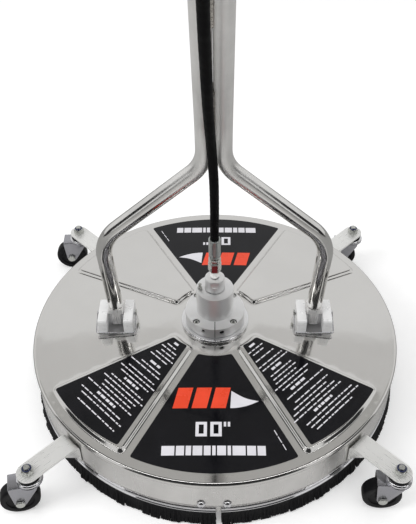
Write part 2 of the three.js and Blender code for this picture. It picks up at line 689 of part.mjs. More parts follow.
function wheel() {
  const { radius, half, bore, shoulder, dish, side } = WHEEL;
  return turnedRing([
    [bore, -half], [dish, -shoulder], [side, -half], [radius, -shoulder],
    [radius, shoulder], [side, half], [dish, shoulder], [bore, half],
  ], 20);
}

function addCaster({ name, sx, sy, trail }) {
  const arm = new THREE.Group();
  arm.rotation.z = Math.atan2(sy, sx);
  part.add(arm);
  add(`caster_arm_${name}`, casterArm(), aluminium(), arm);
  add(`caster_bolt_${name}`, casterBolt(), zinc(), arm).position.x = CASTER_REACH;

  const swivel = new THREE.Group();
  swivel.position.set(sx * CASTER_OFFSET, sy * CASTER_OFFSET, 0);
  swivel.rotation.z = trail * DEG;
  part.add(swivel);
  add(`caster_fork_${name}`, fork(), zinc(), swivel);
  for (const [kind, shape, look] of [['axle', axle(), zinc()], ['wheel', wheel(), blackRubber()]]) {
    const piece = add(`caster_${kind}_${name}`, shape, look, swivel);
    piece.position.set(WHEEL.trail, 0, WHEEL.radius);
    piece.rotation.x = Math.PI / 2;
  }
}

addDeck();
addSwivel();
addRotor();
addHandle();
addBrackets();
CASTERS.forEach(addCaster);

// Stand the whole object centred on its own frame's origin.
part.updateMatrixWorld(true);
const bounds = new THREE.Box3().setFromObject(part, true);
part.position.set(-(bounds.min.x + bounds.max.x) / 2, -(bounds.min.y + bounds.max.y) / 2, 0);

export default part;
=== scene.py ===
"""The looks of the rotary surface cleaner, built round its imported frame.

Pieces are made in millimetres round the hub's axis, standing on the floor at z = 0, with the
operator on the -Y side. piece() turns them into metres at the hub's place in the frame.
"""
import random
from math import atan2, cos, degrees, hypot, pi, radians, sin, sqrt, tan

import bmesh
import bpy
from mathutils import Matrix, Vector
from mathutils.geometry import delaunay_2d_cdt, tessellate_polygon


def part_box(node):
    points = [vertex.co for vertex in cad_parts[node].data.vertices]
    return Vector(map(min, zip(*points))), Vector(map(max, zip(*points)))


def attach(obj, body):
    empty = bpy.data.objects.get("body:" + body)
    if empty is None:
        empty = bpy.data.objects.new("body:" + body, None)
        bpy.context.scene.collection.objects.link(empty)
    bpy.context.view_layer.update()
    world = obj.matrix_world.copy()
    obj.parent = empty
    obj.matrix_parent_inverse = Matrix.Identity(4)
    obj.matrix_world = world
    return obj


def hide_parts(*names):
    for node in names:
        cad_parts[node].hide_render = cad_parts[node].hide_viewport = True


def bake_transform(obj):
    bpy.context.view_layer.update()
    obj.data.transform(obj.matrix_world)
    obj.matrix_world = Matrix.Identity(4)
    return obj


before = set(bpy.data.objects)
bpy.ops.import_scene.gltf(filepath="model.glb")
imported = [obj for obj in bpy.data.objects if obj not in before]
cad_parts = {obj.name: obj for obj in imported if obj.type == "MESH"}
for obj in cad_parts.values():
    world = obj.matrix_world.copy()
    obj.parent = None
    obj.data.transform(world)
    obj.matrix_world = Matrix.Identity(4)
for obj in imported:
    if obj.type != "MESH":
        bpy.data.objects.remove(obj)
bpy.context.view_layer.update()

MM = 0.001
GAP = 0.3  # the clearance between two pieces that touch on the machine
COVER_LOW, COVER_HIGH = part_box("deck_cover")
HUB = Vector(((COVER_LOW.x + COVER_HIGH.x) / 2, (COVER_LOW.y + COVER_HIGH.y) / 2, 0))
SIDES = (("left", -1), ("right", 1))


def size(node):
    """A CAD node's lowest and highest corners, in millimetres round the hub's axis."""
    low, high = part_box(node)
    return (low - HUB) / MM, (high - HUB) / MM


def added(name, data):
    """A new object in the scene."""
    thing = bpy.data.objects.new(name, data)
    bpy.context.scene.collection.objects.link(thing)
    return thing


# ---------------------------------------------------------------- camera
LENS, SENSOR, SHIFT = 52.03, 36, -0.0237
CAMERA_PLACE, CAMERA_DOWN = (9, -880.2, 1050.8), 42.24  # millimetres, and degrees below level


def make_camera():
    data = bpy.data.cameras.new("camera")
    data.lens, data.sensor_width, data.shift_x = LENS, SENSOR, SHIFT
    data.clip_start, data.clip_end = 0.05, 60
    camera = added("camera", data)
    camera.location = HUB + Vector(CAMERA_PLACE) * MM
    camera.rotation_euler = (radians(90 - CAMERA_DOWN), 0, 0)
    bpy.context.scene.camera = camera


# ---------------------------------------------------------------- mesh building
def at(x, y, z, rx=0, ry=0, rz=0):
    """A place in millimetres and degrees, turned about Z last."""
    turns = [Matrix.Rotation(radians(a), 4, axis) for a, axis in ((rz, "Z"), (ry, "Y"), (rx, "X"))]
    return Matrix.Translation((x, y, z)) @ turns[0] @ turns[1] @ turns[2]


def polar(radius, angle):
    return Vector((radius * cos(radians(angle)), radius * sin(radians(angle))))


def circle(radius, sides, centre=(0, 0)):
    angles = [2 * pi * i / sides for i in range(sides)]
    return [Vector((centre[0] + radius * cos(a), centre[1] + radius * sin(a))) for a in angles]


def arc(cx, cy, radius, start, end, steps):
    angles = [radians(start + (end - start) * i / steps) for i in range(steps + 1)]
    return [(cx + radius * cos(a), cy + radius * sin(a)) for a in angles]


def strips(rows, across, closed=True, first=0):
    """Quads between rows of points, which are numbered one row after another."""
    quads = []
    for row in range(first, first + (rows - 1) * across, across):
        for i in range(across if closed else across - 1):
            j = (i + 1) % across
            quads.append([row + i, row + j, row + across + j, row + across + i])
    return quads


def shell(verts, faces):
    """A bmesh in millimetres."""
    mesh = bmesh.new()
    made = [mesh.verts.new(v) for v in verts]
    for face in faces:
        mesh.faces.new([made[i] for i in face])
    return mesh


def moved(mesh, matrix):
    bmesh.ops.transform(mesh, matrix=matrix, verts=mesh.verts)
    return mesh


def merged(*meshes):
    """Several shells in one bmesh."""
    base = meshes[0]
    for other in meshes[1:]:
        data = bpy.data.meshes.new("part")
        other.to_mesh(data)
        other.free()
        base.from_mesh(data)
        bpy.data.meshes.remove(data)
    return base


def sewn(mesh, distance=0.02):
    """Joins the points of neighbouring shells."""
    bmesh.ops.remove_doubles(mesh, verts=mesh.verts, dist=distance)
    return mesh


def bevelled(mesh, width, segments=2, angle=28):
    """Rounds every edge sharper than the angle."""
    bmesh.ops.recalc_face_normals(mesh, faces=mesh.faces)
    sharp = [e for e in mesh.edges if len(e.link_faces) == 2 and e.calc_face_angle() > radians(angle)]
    bmesh.ops.bevel(mesh, geom=sharp, offset=width, offset_type="OFFSET", segments=segments, profile=0.5,
                    affect="EDGES", clamp_overlap=True)
    return mesh


def piece(name, mesh, look, body, place=Matrix(), instead=None, smooth=34):
    """Puts a bmesh in the scene as one piece, which can ride on a body and stand for a CAD node."""
    bmesh.ops.recalc_face_normals(mesh, faces=mesh.faces)
    bmesh.ops.scale(mesh, vec=(MM, MM, MM), verts=mesh.verts)
    data = bpy.data.meshes.new(name)
    mesh.to_mesh(data)
    mesh.free()
    data.polygons.foreach_set("use_smooth", [True] * len(data.polygons))
    data.set_sharp_from_angle(angle=radians(smooth))
    data.materials.append(look)
    thing = added(name, data)
    place = place.copy()
    place.translation = HUB + place.translation * MM
    thing.matrix_world = place
    if body:
        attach(thing, body)
    if instead:
        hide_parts(instead)
    return thing


def thicken(thing, thickness):
    """Gives a sheet its thickness, behind the face that is drawn."""
    sheet = thing.modifiers.new("sheet", "SOLIDIFY")
    sheet.thickness, sheet.offset = thickness * MM, -1


def lathe(profile, sides, loop=False):
    """A profile of (radius, height) turned round Z. Points on the axis become poles."""
    verts, rings = [], []
    for radius, z in profile:
        if radius < 1e-6:
            rings.append([len(verts)] * sides)
            verts.append((0, 0, z))
        else:
            rings.append(list(range(len(verts), len(verts) + sides)))
            verts += [(x, y, z) for x, y in circle(radius, sides)]
    faces = []
    for a, b in zip(rings, rings[1:] + rings[:1] if loop else rings[1:]):
        for i in range(sides):
            j = (i + 1) % sides
            corners = list(dict.fromkeys((a[i], a[j], b[j], b[i])))
            if len(corners) > 2:
                faces.append(corners)
    return shell(verts, faces)


def eased(before, here, after, radius, steps):
    """The points that round off one corner of a flat line."""
    p, into, away = Vector(here), Vector(before) - Vector(here), Vector(after) - Vector(here)
    cut = min(radius, into.length * 0.45, away.length * 0.45)
    start, end = p + into.normalized() * cut, p + away.normalized() * cut
    parts = [i / steps for i in range(steps + 1)]
    return [tuple(start * (1 - t) ** 2 + p * 2 * t * (1 - t) + end * t * t) for t in parts]


def turned(profile, radius, sides):
    """A lathe shape with its corners rounded off, so that its edges catch the light."""
    inner = [p for trio in zip(profile, profile[1:], profile[2:]) for p in eased(*trio, radius, 3)]
    return lathe([profile[0]] + inner + [profile[-1]], sides)


def rounded_outline(points, radius, steps=5):
    """A closed outline with its corners rounded off."""
    after = points[1:] + points[:1]
    return [p for i, here in enumerate(points) for p in eased(points[i - 1], here, after[i], radius, steps)]


def prism(outline, low, high, hole=None):
    """A flat outline of (x, y), with an optional hole, made solid from low to high along Z."""
    loops = [outline] + ([hole] if hole else [])
    flat = [p for loop in loops for p in loop]
    count = len(flat)
    verts = [(x, y, z) for z in (low, high) for x, y in flat]
    if hole:
        rings = [[Vector((x, y, 0)) for x, y in loop] for loop in loops]
        under = [list(triangle) for triangle in tessellate_polygon(rings)]
    else:
        under = [list(range(count))]
    faces = under + [[i + count for i in reversed(face)] for face in under]
    start = 0
    for loop in loops:
        for i in range(len(loop)):
            a, b = start + i, start + (i + 1) % len(loop)
            faces.append([a, b, b + count, a + count])
        start += len(loop)
    return shell(verts, faces)


ALONG_X = Matrix(((0, 0, 1, 0), (1, 0, 0, 0), (0, 1, 0, 0), (0, 0, 0, 1)))  # outline (y, z), thick along X
ALONG_Y = Matrix(((1, 0, 0, 0), (0, 0, -1, 0), (0, 1, 0, 0), (0, 0, 0, 1)))  # outline (x, z), thick along -Y


def across_x(outline, low, high, hole=None):
    """An outline of (y, z), made solid from low to high along X."""
    return moved(prism(outline, low, high, hole), ALONG_X)


def block(x0, x1, y0, y1, z0, z1):
    return prism([(x0, y0), (x1, y0), (x1, y1), (x0, y1)], z0, z1)


def round_rod(radius, low, high):
    return turned([(0, low), (radius, low), (radius, high), (0, high)], 0.4, 32)


def hexagon(radius, low, high, edge):
    return bevelled(prism([polar(radius, 60 * i) for i in range(6)], low, high), edge)


def route(corners, bends, steps):
    """Straight runs through the corners, each corner rounded to its own bend radius."""
    corners = [Vector(c) for c in corners]
    points = [corners[0]]
    for before, here, after, bend in zip(corners, corners[1:], corners[2:], bends):
        back, ahead = (before - here).normalized(), (after - here).normalized()
        turn = pi - back.angle(ahead)
        centre = here + (back + ahead).normalized() * (bend / cos(turn / 2))
        first = here + back * bend * tan(turn / 2) - centre
        axis = (-back).cross(ahead).normalized()
        points += [centre + Matrix.Rotation(turn * k / steps, 3, axis) @ first for k in range(steps + 1)]
    return points + [corners[-1]]


def finely(points, step):
    """The same line with no stretch longer than the step."""
    out = [points[0]]
    for a, b in zip(points, points[1:]):
        n = max(1, int((b - a).length / step))
        out += [a.lerp(b, i / n) for i in range(1, n + 1)]
    return out


def smooth_curve(points, per):
    """A centripetal curve through the points, as the frame's own hose follows."""
    def mix(a, b, start, end):
        return a * ((end - t) / (end - start)) + b * ((t - start) / (end - start))

    pts = [Vector(p) for p in points]
    pts = [pts[0] * 2 - pts[1]] + pts + [pts[-1] * 2 - pts[-2]]
    out = []
    for i in range(1, len(pts) - 2):
        p0, p1, p2, p3 = pts[i - 1:i + 3]
        t1 = (p1 - p0).length ** 0.5
        t2 = t1 + (p2 - p1).length ** 0.5
        t3 = t2 + (p3 - p2).length ** 0.5
        for k in range(per):
            t = t1 + (t2 - t1) * k / per
            a1, a2, a3 = mix(p0, p1, 0, t1), mix(p1, p2, t1, t2), mix(p2, p3, t2, t3)
            out.append(mix(mix(a1, a2, 0, t2), mix(a2, a3, t1, t3), t1, t2))
    return out + [pts[-2]]


def crosswise(points):
    """Two axes across the line at each of its points, without twist."""
    last = len(points) - 1
    tangents = [(points[min(i + 1, last)] - points[max(i - 1, 0)]).normalized() for i in range(last + 1)]
    side, out = tangents[0].orthogonal().normalized(), []
    for t in tangents:
        side = (side - t * side.dot(t)).normalized()
        out.append((side, t.cross(side)))
    return out


def sweep(points, radius, sides, bore=0, swell=None):
    """A round bar along the points. With a bore it is a tube. swell(i, angle) adds to the radius."""
    points = [Vector(p) for p in points]
    axes, rows = crosswise(points), len(points)

    def skin(r, grow):
        verts = []
        for i, (p, (u, v)) in enumerate(zip(points, axes)):
            for k in range(sides):
                a = 2 * pi * k / sides
                reach = r + (grow(i, a) if grow else 0)
                verts.append(p + (u * cos(a) + v * sin(a)) * reach)
        return verts

    verts, faces = skin(radius, swell), strips(rows, sides)
    last = (rows - 1) * sides
    if bore:
        inner = len(verts)
        verts += skin(bore, None)
        faces += [quad[::-1] for quad in strips(rows, sides, first=inner)]
        for end in (0, last):
            for i in range(sides):
                j = (i + 1) % sides
                faces.append([end + i, end + j, inner + end + j, inner + end + i])
    else:
        faces += [list(range(sides)), list(range(last, last + sides))]
    return shell(verts, faces)


# ---------------------------------------------------------------- materials
def new_material(name):
    material = bpy.data.materials.new(name)
    material.use_nodes = True
    tree = material.node_tree
    return material, tree, tree.nodes["Principled BSDF"]


def joint(tree, kind, *sources, **values):
    """A new node. Values are its settings or constant sockets, and sources feed its first sockets."""
    node = tree.nodes.new(kind)
    for key, value in values.items():
        if key in node.inputs:
            node.inputs[key].default_value = value
        else:
            setattr(node, key, value)
    for source, socket in zip(sources, node.inputs):
        tree.links.new(source, socket)
    return node


def ramp(tree, source, low, high, start=0.3, end=0.7):
    """Maps a 0 to 1 value onto low to high: plain numbers, or colours."""
    if isinstance(low, tuple):
        node = joint(tree, "ShaderNodeValToRGB", source)
        for stop, place, colour in zip(node.color_ramp.elements, (start, end), (low, high)):
            stop.position, stop.color = place, (*colour, 1)
    else:
        node = joint(tree, "ShaderNodeMapRange", source)
        for index, value in enumerate((start, end, low, high), 1):
            node.inputs[index].default_value = value
    return node.outputs[0]


def total(tree, one, other):
    return joint(tree, "ShaderNodeMath", one, other, operation="ADD").outputs[0]


def noise(tree, scale, detail, stretch=(1, 1, 1), rings=False):
    """Noise over the piece's own space, in 1/metre. rings wraps it round Z like a turned surface."""
    place = joint(tree, "ShaderNodeTexCoord").outputs["Object"]
    if rings:
        split = joint(tree, "ShaderNodeSeparateXYZ", place)
        level = joint(tree, "ShaderNodeVectorMath", place, operation="MULTIPLY")
        level.inputs[1].default_value = (1, 1, 0)
        radius = joint(tree, "ShaderNodeVectorMath", level.outputs[0], operation="LENGTH")
        wrapped = joint(tree, "ShaderNodeCombineXYZ", radius.outputs["Value"])
        tree.links.new(split.outputs[2], wrapped.inputs[2])
        place = wrapped.outputs[0]
    scaled = joint(tree, "ShaderNodeMapping", place, Scale=stretch)
    return joint(tree, "ShaderNodeTexNoise", scaled.outputs[0], Scale=scale, Detail=detail).outputs["Fac"]


def bump(tree, shader, height, strength, distance, under=None):
    node = joint(tree, "ShaderNodeBump", Strength=strength, Distance=distance)
    tree.links.new(height, node.inputs["Height"])
    if under:
        tree.links.new(under, node.inputs["Normal"])
    tree.links.new(node.outputs[0], shader.inputs["Normal"])
    return node.outputs[0]


def metal(name, colour, rough, grain=(1, 1, 1), grain_scale=900, rings=False, spread=0.06, relief=0.05,
          stain=0.06, waves=0, satin=None, whole=1):
    """A metal with a fine directional grain, soft smudges in its gloss and faint staining in its colour.

    satin is (low, high, extra, bare): between two heights, in metres, the roughness grows by extra and
    the metallic value goes from whole to bare. whole is under 1 for a blasted or oxidised skin, which
    scatters some light. waves is the depth of slow waves in a sheet, in metres.
    """
    material, tree, shader = new_material(name)
    shader.inputs["Metallic"].default_value = whole
    smudge = noise(tree, 14, 4)
    dark = tuple(c * (1 - stain) for c in colour)
    tree.links.new(ramp(tree, smudge, dark, colour, 0.35, 0.65), shader.inputs["Base Color"])
    line = noise(tree, grain_scale, 2, grain, rings)
    gloss = total(tree, ramp(tree, line, rough - spread, rough + spread),
                  ramp(tree, smudge, -spread / 2, spread / 2))
    if satin:
        low, high, extra, bare = satin
        place = joint(tree, "ShaderNodeTexCoord").outputs["Object"]
        height = joint(tree, "ShaderNodeSeparateXYZ", place).outputs[2]
        gloss = total(tree, gloss, ramp(tree, height, 0, extra, low, high))
        tree.links.new(ramp(tree, height, whole, bare, low, high), shader.inputs["Metallic"])
    tree.links.new(gloss, shader.inputs["Roughness"])
    under = bump(tree, shader, noise(tree, 9, 2), 1.0, waves) if waves else None
    bump(tree, shader, line, relief, 0.0002, under)
    return material


def dull(name, colour, rough, light=1.8, scale=260, relief=0.25, specular=0.5):
    """A plastic, rubber or nylon: a mottled dark colour, a fine pebbled skin and scuffs in the gloss."""
    material, tree, shader = new_material(name)
    shader.inputs["Specular IOR Level"].default_value = specular
    scuff = noise(tree, 40, 5)
    worn = tuple(min(c * light, 1) for c in colour)
    tree.links.new(ramp(tree, scuff, colour, worn, 0.4, 0.75), shader.inputs["Base Color"])
    tree.links.new(ramp(tree, scuff, rough - 0.08, rough + 0.1), shader.inputs["Roughness"])
    bump(tree, shader, noise(tree, scale * 10, 3), relief, 0.00015)
    return material


deck_steel = metal("deck_steel", (0.80, 0.79, 0.77), 0.10, grain_scale=1200, rings=True, spread=0.03,
                   relief=0.015, stain=0.03, waves=0.0006)
wall_steel = metal("wall_steel", (0.90, 0.89, 0.87), 0.28, (1, 1, 0.03), 60, spread=0.03, relief=0.001,
                   stain=0.12)
rim_steel = metal("rim_steel", (0.90, 0.90, 0.91), 0.20, grain_scale=700, rings=True, spread=0.05,
                  relief=0.02)
tube_steel = metal("tube_steel", (0.86, 0.85, 0.83), 0.12, (18, 18, 1), 40, spread=0.04, relief=0.02,
                   stain=0.16, satin=(0.38, 0.50, 0.30, 0.68))
weld_steel = metal("weld_steel", (0.66, 0.63, 0.58), 0.28, grain_scale=500, relief=0.4, stain=0.3)
plate_aluminium = metal("plate_aluminium", (0.93, 0.93, 0.91), 0.36, (1, 26, 26), 50, spread=0.12,
                        relief=0.2, stain=0.10, whole=0.6)
block_aluminium = metal("block_aluminium", (0.97, 0.97, 0.97), 0.30, (1, 1, 20), 60, spread=0.05,
                        relief=0.04, whole=0.3)
# Painted shade: the bracket's own aluminium, darkened to half for the floor that lies in shade between the
# cheeks.
floor_aluminium_painted_shade = metal("floor_aluminium_painted_shade", (0.50, 0.50, 0.51), 0.34, (1, 1, 20), 60, spread=0.05, relief=0.04)
lug_steel = metal("lug_steel", (0.88, 0.87, 0.86), 0.30, (20, 20, 1), 60, spread=0.05, relief=0.04, whole=0.6)
turned_aluminium = metal("turned_aluminium", (0.95, 0.95, 0.95), 0.44, grain_scale=2200, rings=True,
                         relief=0.2, whole=0.9)
chrome = metal("chrome", (0.86, 0.86, 0.88), 0.06, grain_scale=300, spread=0.03, relief=0.01)
zinc = metal("zinc", (0.72, 0.73, 0.70), 0.26, grain_scale=420, spread=0.08, relief=0.10, stain=0.14)
stamped_zinc = metal("stamped_zinc", (0.46, 0.46, 0.49), 0.22, grain_scale=160, spread=0.04, relief=0.01)
ferrule_zinc = metal("ferrule_zinc", (0.56, 0.59, 0.58), 0.36, (1, 1, 0.05), 300, spread=0.08, relief=0.04,
                     stain=0.12)
bearing_steel = metal("bearing_steel", (0.62, 0.64, 0.66), 0.2, rings=True)
brass = metal("brass", (0.72, 0.55, 0.25), 0.25, rings=True, stain=0.2)
socket_black = dull("socket_black", (0.01, 0.01, 0.011), 0.6)
rubber = dull("rubber", (0.008, 0.008, 0.009), 0.5, light=2.2, specular=0.3)
hose_cover = dull("hose_cover", (0.0022, 0.0022, 0.0026), 0.55, scale=180, relief=0.4, specular=0.08)
bristle = dull("bristle", (0.004, 0.004, 0.005), 0.5, light=2.0, scale=60, relief=0.4, specular=0.16)
wheel_black = dull("wheel_black", (0.004, 0.004, 0.005), 0.42, light=1.7, scale=90, relief=0.15, specular=0.2)
gun_plastic = dull("gun_plastic", (0.016, 0.016, 0.018), 0.48, light=1.5, scale=120, relief=0.4)
trigger_red = dull("trigger_red", (0.42, 0.03, 0.02), 0.35, light=1.15, scale=120)
nylon_blue = dull("nylon_blue", (0.008, 0.014, 0.06), 0.4, light=1.5)
# Painted reflection: the red of the front label's print as mirrored in the nut's front flat.
painted_red_reflection = dull("painted_red_reflection", (0.12, 0.006, 0.008), 0.4, light=1.6)
thread_tape = dull("thread_tape", (0.80, 0.80, 0.78), 0.6, light=1.1, scale=160, relief=0.8)
label_black = dull("label_black", (0.005, 0.005, 0.0065), 0.13, light=1.4, scale=20, relief=0.02,
                   specular=0.26)
print_white = dull("print_white", (0.72, 0.71, 0.75), 0.3, light=1.1, scale=60, relief=0.02)
print_red = dull("print_red", (0.80, 0.060, 0.018), 0.28, light=1.12, scale=60, relief=0.02)
floor_paint = dull("floor_paint", (0.86, 0.86, 0.86), 0.65, light=1.02, scale=8, relief=0.02)
floor_sockets = floor_paint.node_tree.nodes["Principled BSDF"].inputs
floor_sockets["Emission Color"].default_value = (1, 1, 1, 1)
floor_sockets["Emission Strength"].default_value = 0.28


# ---------------------------------------------------------------- hose
HOSE_RADIUS = 7
RIM_Z = 105
HOSE_POINTS = [  # across, along and above the deck's rim
    (0, 0, 195.1), (0, -0.5, 210), (0.3, -4, 245), (0.3, -12, 280), (0, -23.5, 315), (-1.2, -37, 356),
    (-3, -54, 400), (-4.6, -75, 440), (-5.8, -97, 482), (-6.6, -121, 526), (-7.1, -144, 568),
    (-7.4, -167, 608), (-7.5, -186.5, 644), (-7.5, -198.6, 664.5), (-7.5, -204.5, 678.3),
]
WRAP_DEPTH, WRAP_PITCH = 0.07, 5.2  # the wrapped cover's ridge, and the sweep's rings for one turn of it


def add_hose():
    points = smooth_curve([(x, y, RIM_Z + z) for x, y, z in HOSE_POINTS], 14)

    def wrap(i, angle):
        return WRAP_DEPTH * sin(2 * pi * i / WRAP_PITCH + angle)

    hose = piece("hose", sweep(points, HOSE_RADIUS - 0.2, 24, swell=wrap), hose_cover, None,
                 instead="pressure_hose")
    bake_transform(hose)


# ---------------------------------------------------------------- deck
DECK_RADIUS = (COVER_HIGH.x - COVER_LOW.x) / 2 / MM
SHEET = 2
RIM_ROLL = 5.5
FLAT_RADIUS = DECK_RADIUS - RIM_ROLL
CONE_RADIUS, SEAT_RADIUS, SEAT_HEIGHT, SEAT_HOLE = 293, 70, 16, 24
RIM_SIDES = 192
PETAL = {"inner": 74, "outer": 286, "half_inner": 15.6, "half_outer": 16.9, "height": 4.8, "slope": 7.2}
SLOPE_ROWS, GRID_STEP = 10, 3


def deck_z(radius):
    """Height of the deck's sheet: a level seat, a shallow cone and a flat band, with eased bends."""
    t, soft = (CONE_RADIUS - radius) / (CONE_RADIUS - SEAT_RADIUS), 0.022
    if t < soft:
        t = max(t + soft, 0) ** 2 / (4 * soft)
    elif t > 1 - soft:
        t = 1 - max(1 + soft - t, 0) ** 2 / (4 * soft)
    return RIM_Z + SEAT_HEIGHT * t


def evenly(loop, step):
    """A closed loop of 2-D points, spaced again at even steps."""
    total = [0]
    ring = loop + [loop[0]]
    for a, b in zip(ring, ring[1:]):
        total.append(total[-1] + (b - a).length)
    count, out, k = round(total[-1] / step), [], 0
    for i in range(count):
        s = total[-1] * i / count
        while total[k + 1] < s:
            k += 1
        out.append(ring[k].lerp(ring[k + 1], (s - total[k]) / (total[k + 1] - total[k])))
    return out


def softened(loop, reach):
    """The loop with its corners rounded by averaging each point with its neighbours."""
    for _ in range(2):
        near = [[loop[(i + k) % len(loop)] for k in range(-reach, reach + 1)] for i in range(len(loop))]
        loop = [sum(points, Vector((0, 0))) / (2 * reach + 1) for points in near]
    return loop


def petal_loop(middle):
    """The middle line of the pressed step round one petal, which lies on the diagonal at that angle."""
    def end(which, side):
        return polar(PETAL[which], middle + side * PETAL["half_" + which])

    def run(start, stop):
        return [start.lerp(stop, i / 60) for i in range(60)]

    def across(which, side, steps):
        half = side * PETAL["half_" + which]
        return [polar(PETAL[which], middle + half * (1 - 2 * i / steps)) for i in range(steps)]

    loop = run(end("inner", 1), end("outer", 1)) + across("outer", 1, 60)
    return softened(evenly(loop + run(end("outer", -1), end("inner", -1)) + across("inner", -1, 20), 2.4), 2)


def offset(loop, distance):
    """The loop moved inwards by the distance. It runs clockwise."""
    out = []
    for i, here in enumerate(loop):
        along = (loop[(i + 1) % len(loop)] - loop[i - 1]).normalized()
        out.append(here + Vector((along.y, -along.x)) * distance)
    return out


def inside(point, loop):
    """Whether a point is inside a closed loop."""
    x, y = point
    found = False
    for a, b in zip(loop, loop[1:] + loop[:1]):
        if (a.y > y) != (b.y > y) and x < (b.x - a.x) * (y - a.y) / (b.y - a.y) + a.x:
            found = not found
    return found


def filled(loops, extra, keep):
    """Triangles over the plane that keep every loop's edges. keep(point) says which of them stay."""
    points, edges = [], []
    for loop in loops:
        start = len(points)
        points += loop
        edges += [(start + i, start + (i + 1) % len(loop)) for i in range(len(loop))]
    points += extra
    verts, _, faces, *_ = delaunay_2d_cdt(points, edges, [], 0, 1e-5)
    return verts, [f for f in faces if keep(sum((verts[i] for i in f), Vector((0, 0))) / len(f))]


def polar_grid(radii, loops, margin):
    """Points on rings, every GRID_STEP degrees, clear of the loops."""
    edge = [p for loop in loops for p in loop]
    cells = {}
    for p in edge:
        cells.setdefault((round(p.x / margin), round(p.y / margin)), []).append(p)
    out = []
    for k, radius in enumerate(radii):
        for i in range(360 // GRID_STEP):
            p = polar(radius, (i + 0.5 * (k % 2)) * GRID_STEP)
            i0, j0 = round(p.x / margin), round(p.y / margin)
            near = (q for i1 in (-1, 0, 1) for j1 in (-1, 0, 1) for q in cells.get((i0 + i1, j0 + j1), ()))
            if all((q - p).length > margin for q in near):
                out.append(p)
    return out


PETALS = [petal_loop(45 + 90 * k) for k in range(4)]
PETAL_FEET = [offset(loop, -PETAL["slope"] / 2) for loop in PETALS]
PETAL_TOPS = [offset(loop, PETAL["slope"] / 2) for loop in PETALS]


def quarter(point):
    """Which petal's quarter of the deck a point is in."""
    return int(degrees(atan2(point[1], point[0])) % 360 // 90)


def deck_cover():
    hole = [polar(SEAT_HOLE, 360 * i / RIM_SIDES) for i in range(RIM_SIDES)]
    rim = [polar(FLAT_RADIUS, 360 * i / RIM_SIDES) for i in range(RIM_SIDES)]
    loops = [rim, hole] + PETAL_FEET + PETAL_TOPS
    radii = [32, 44, 54, 60, 64, 67, 70, 73, 77, 84, 94, *range(109, 275, 15), 282, 287, 291, 295]

    def keep(p):
        k = quarter(p)
        off_slope = not inside(p, PETAL_FEET[k]) or inside(p, PETAL_TOPS[k])
        return SEAT_HOLE < p.length < FLAT_RADIUS and off_slope

    flat, faces = filled(loops, polar_grid(radii, loops, 4.5), keep)
    middle = [offset(loop, PETAL["slope"] / 2 - 0.3) for loop in PETALS]
    verts = [(p.x, p.y, deck_z(p.length) + PETAL["height"] * inside(p, middle[quarter(p)])) for p in flat]
    for loop in PETALS:
        start = len(verts)
        for row in range(SLOPE_ROWS + 1):
            t = row / SLOPE_ROWS
            rise = PETAL["height"] * t * t * (3 - 2 * t)
            verts += [(p.x, p.y, deck_z(p.length) + rise) for p in offset(loop, PETAL["slope"] * (t - 0.5))]
        faces += strips(SLOPE_ROWS + 1, len(loop), first=start)
    roll = arc(FLAT_RADIUS, RIM_Z - RIM_ROLL, RIM_ROLL, 90, 0, 10)
    lip = [(DECK_RADIUS, 97), (DECK_RADIUS - 0.4, 96)]
    mesh = sewn(merged(shell(verts, faces), lathe(roll + lip, RIM_SIDES)))
    loose = [v for v in mesh.verts if not v.link_faces]
    bmesh.ops.delete(mesh, geom=loose, context="VERTS")
    return mesh


def hoop(profile, start, end, steps):
    """A closed (radius, height) profile carried round Z between two angles, with its ends closed."""
    verts, n = [], len(profile)
    for k in range(steps + 1):
        for radius, z in profile:
            p = polar(radius, start + (end - start) * k / steps)
            verts.append((p.x, p.y, z))
    ends = [list(range(n)), list(range(steps * n, steps * n + n))]
    return shell(verts, strips(steps + 1, n) + ends)


HALF_SPLIT, SPLIT_TURN = 0.8, 1.15
HALVES = (("left", 90 + HALF_SPLIT + SPLIT_TURN, 270 - HALF_SPLIT + SPLIT_TURN),
          ("right", -90 + HALF_SPLIT + SPLIT_TURN, 90 - HALF_SPLIT + SPLIT_TURN))


def brush(start, end, seed):
    """Bundles of bristles in two rows on a thin backing, with a ragged lower edge."""
    random.seed(seed)
    low, high = size("brush_strip_left")
    top, bundles, per_clump = high.z, int((end - start) / 0.4), 7
    core = [(299.4, 3.4), (305.2, 3.4), (304.4, 12), (303, top), (300.2, top), (299.2, 12)]
    mesh = hoop(core, start, end, 150)
    verts, faces = [], []
    for row, flare in ((299.4, 0.2), (302.4, 2.6)):
        for k in range(bundles):
            if k % per_clump == 0:
                lean, reach, length = [random.uniform(*span) for span in ((-0.3, 0.3), (0, 2.8), (0, 3.2))]
            angle = start + (end - start) * (k + 0.5 + 0.3 * (random.random() - 0.5)) / bundles
            head = polar(row, angle)
            foot = polar(row + flare + (reach + random.random()) * (flare > 1),
                         angle + lean + 0.1 * random.random())
            waist = head.lerp(foot, 0.4)
            z = low.z + 0.15 + length + 0.6 * random.random()
            first = len(verts)
            for (x, y), height, r in ((head, top, 0.9), (waist, top * 0.45, 1.25), (foot, z, 1.45)):
                verts += [(x + r * cos(a), y + r * sin(a), height)
                          for a in (2 * pi * i / 5 + angle for i in range(5))]
            ends = [list(range(first, first + 5)), list(range(first + 10, first + 15))]
            faces += strips(3, 5, first=first) + ends
    return merged(mesh, shell(verts, faces))


def button_screw(radius, height):
    """A domed head with a shallow socket."""
    dome = [(0, 0), (radius, 0)] + [(radius * cos(a), 0.5 + (height - 0.5) * sin(a))
                                       for a in (radians(12 * i) for i in range(6))]
    return lathe(dome + [(radius * 0.3, height), (radius * 0.27, height - 0.9), (0, height - 1)], 32)


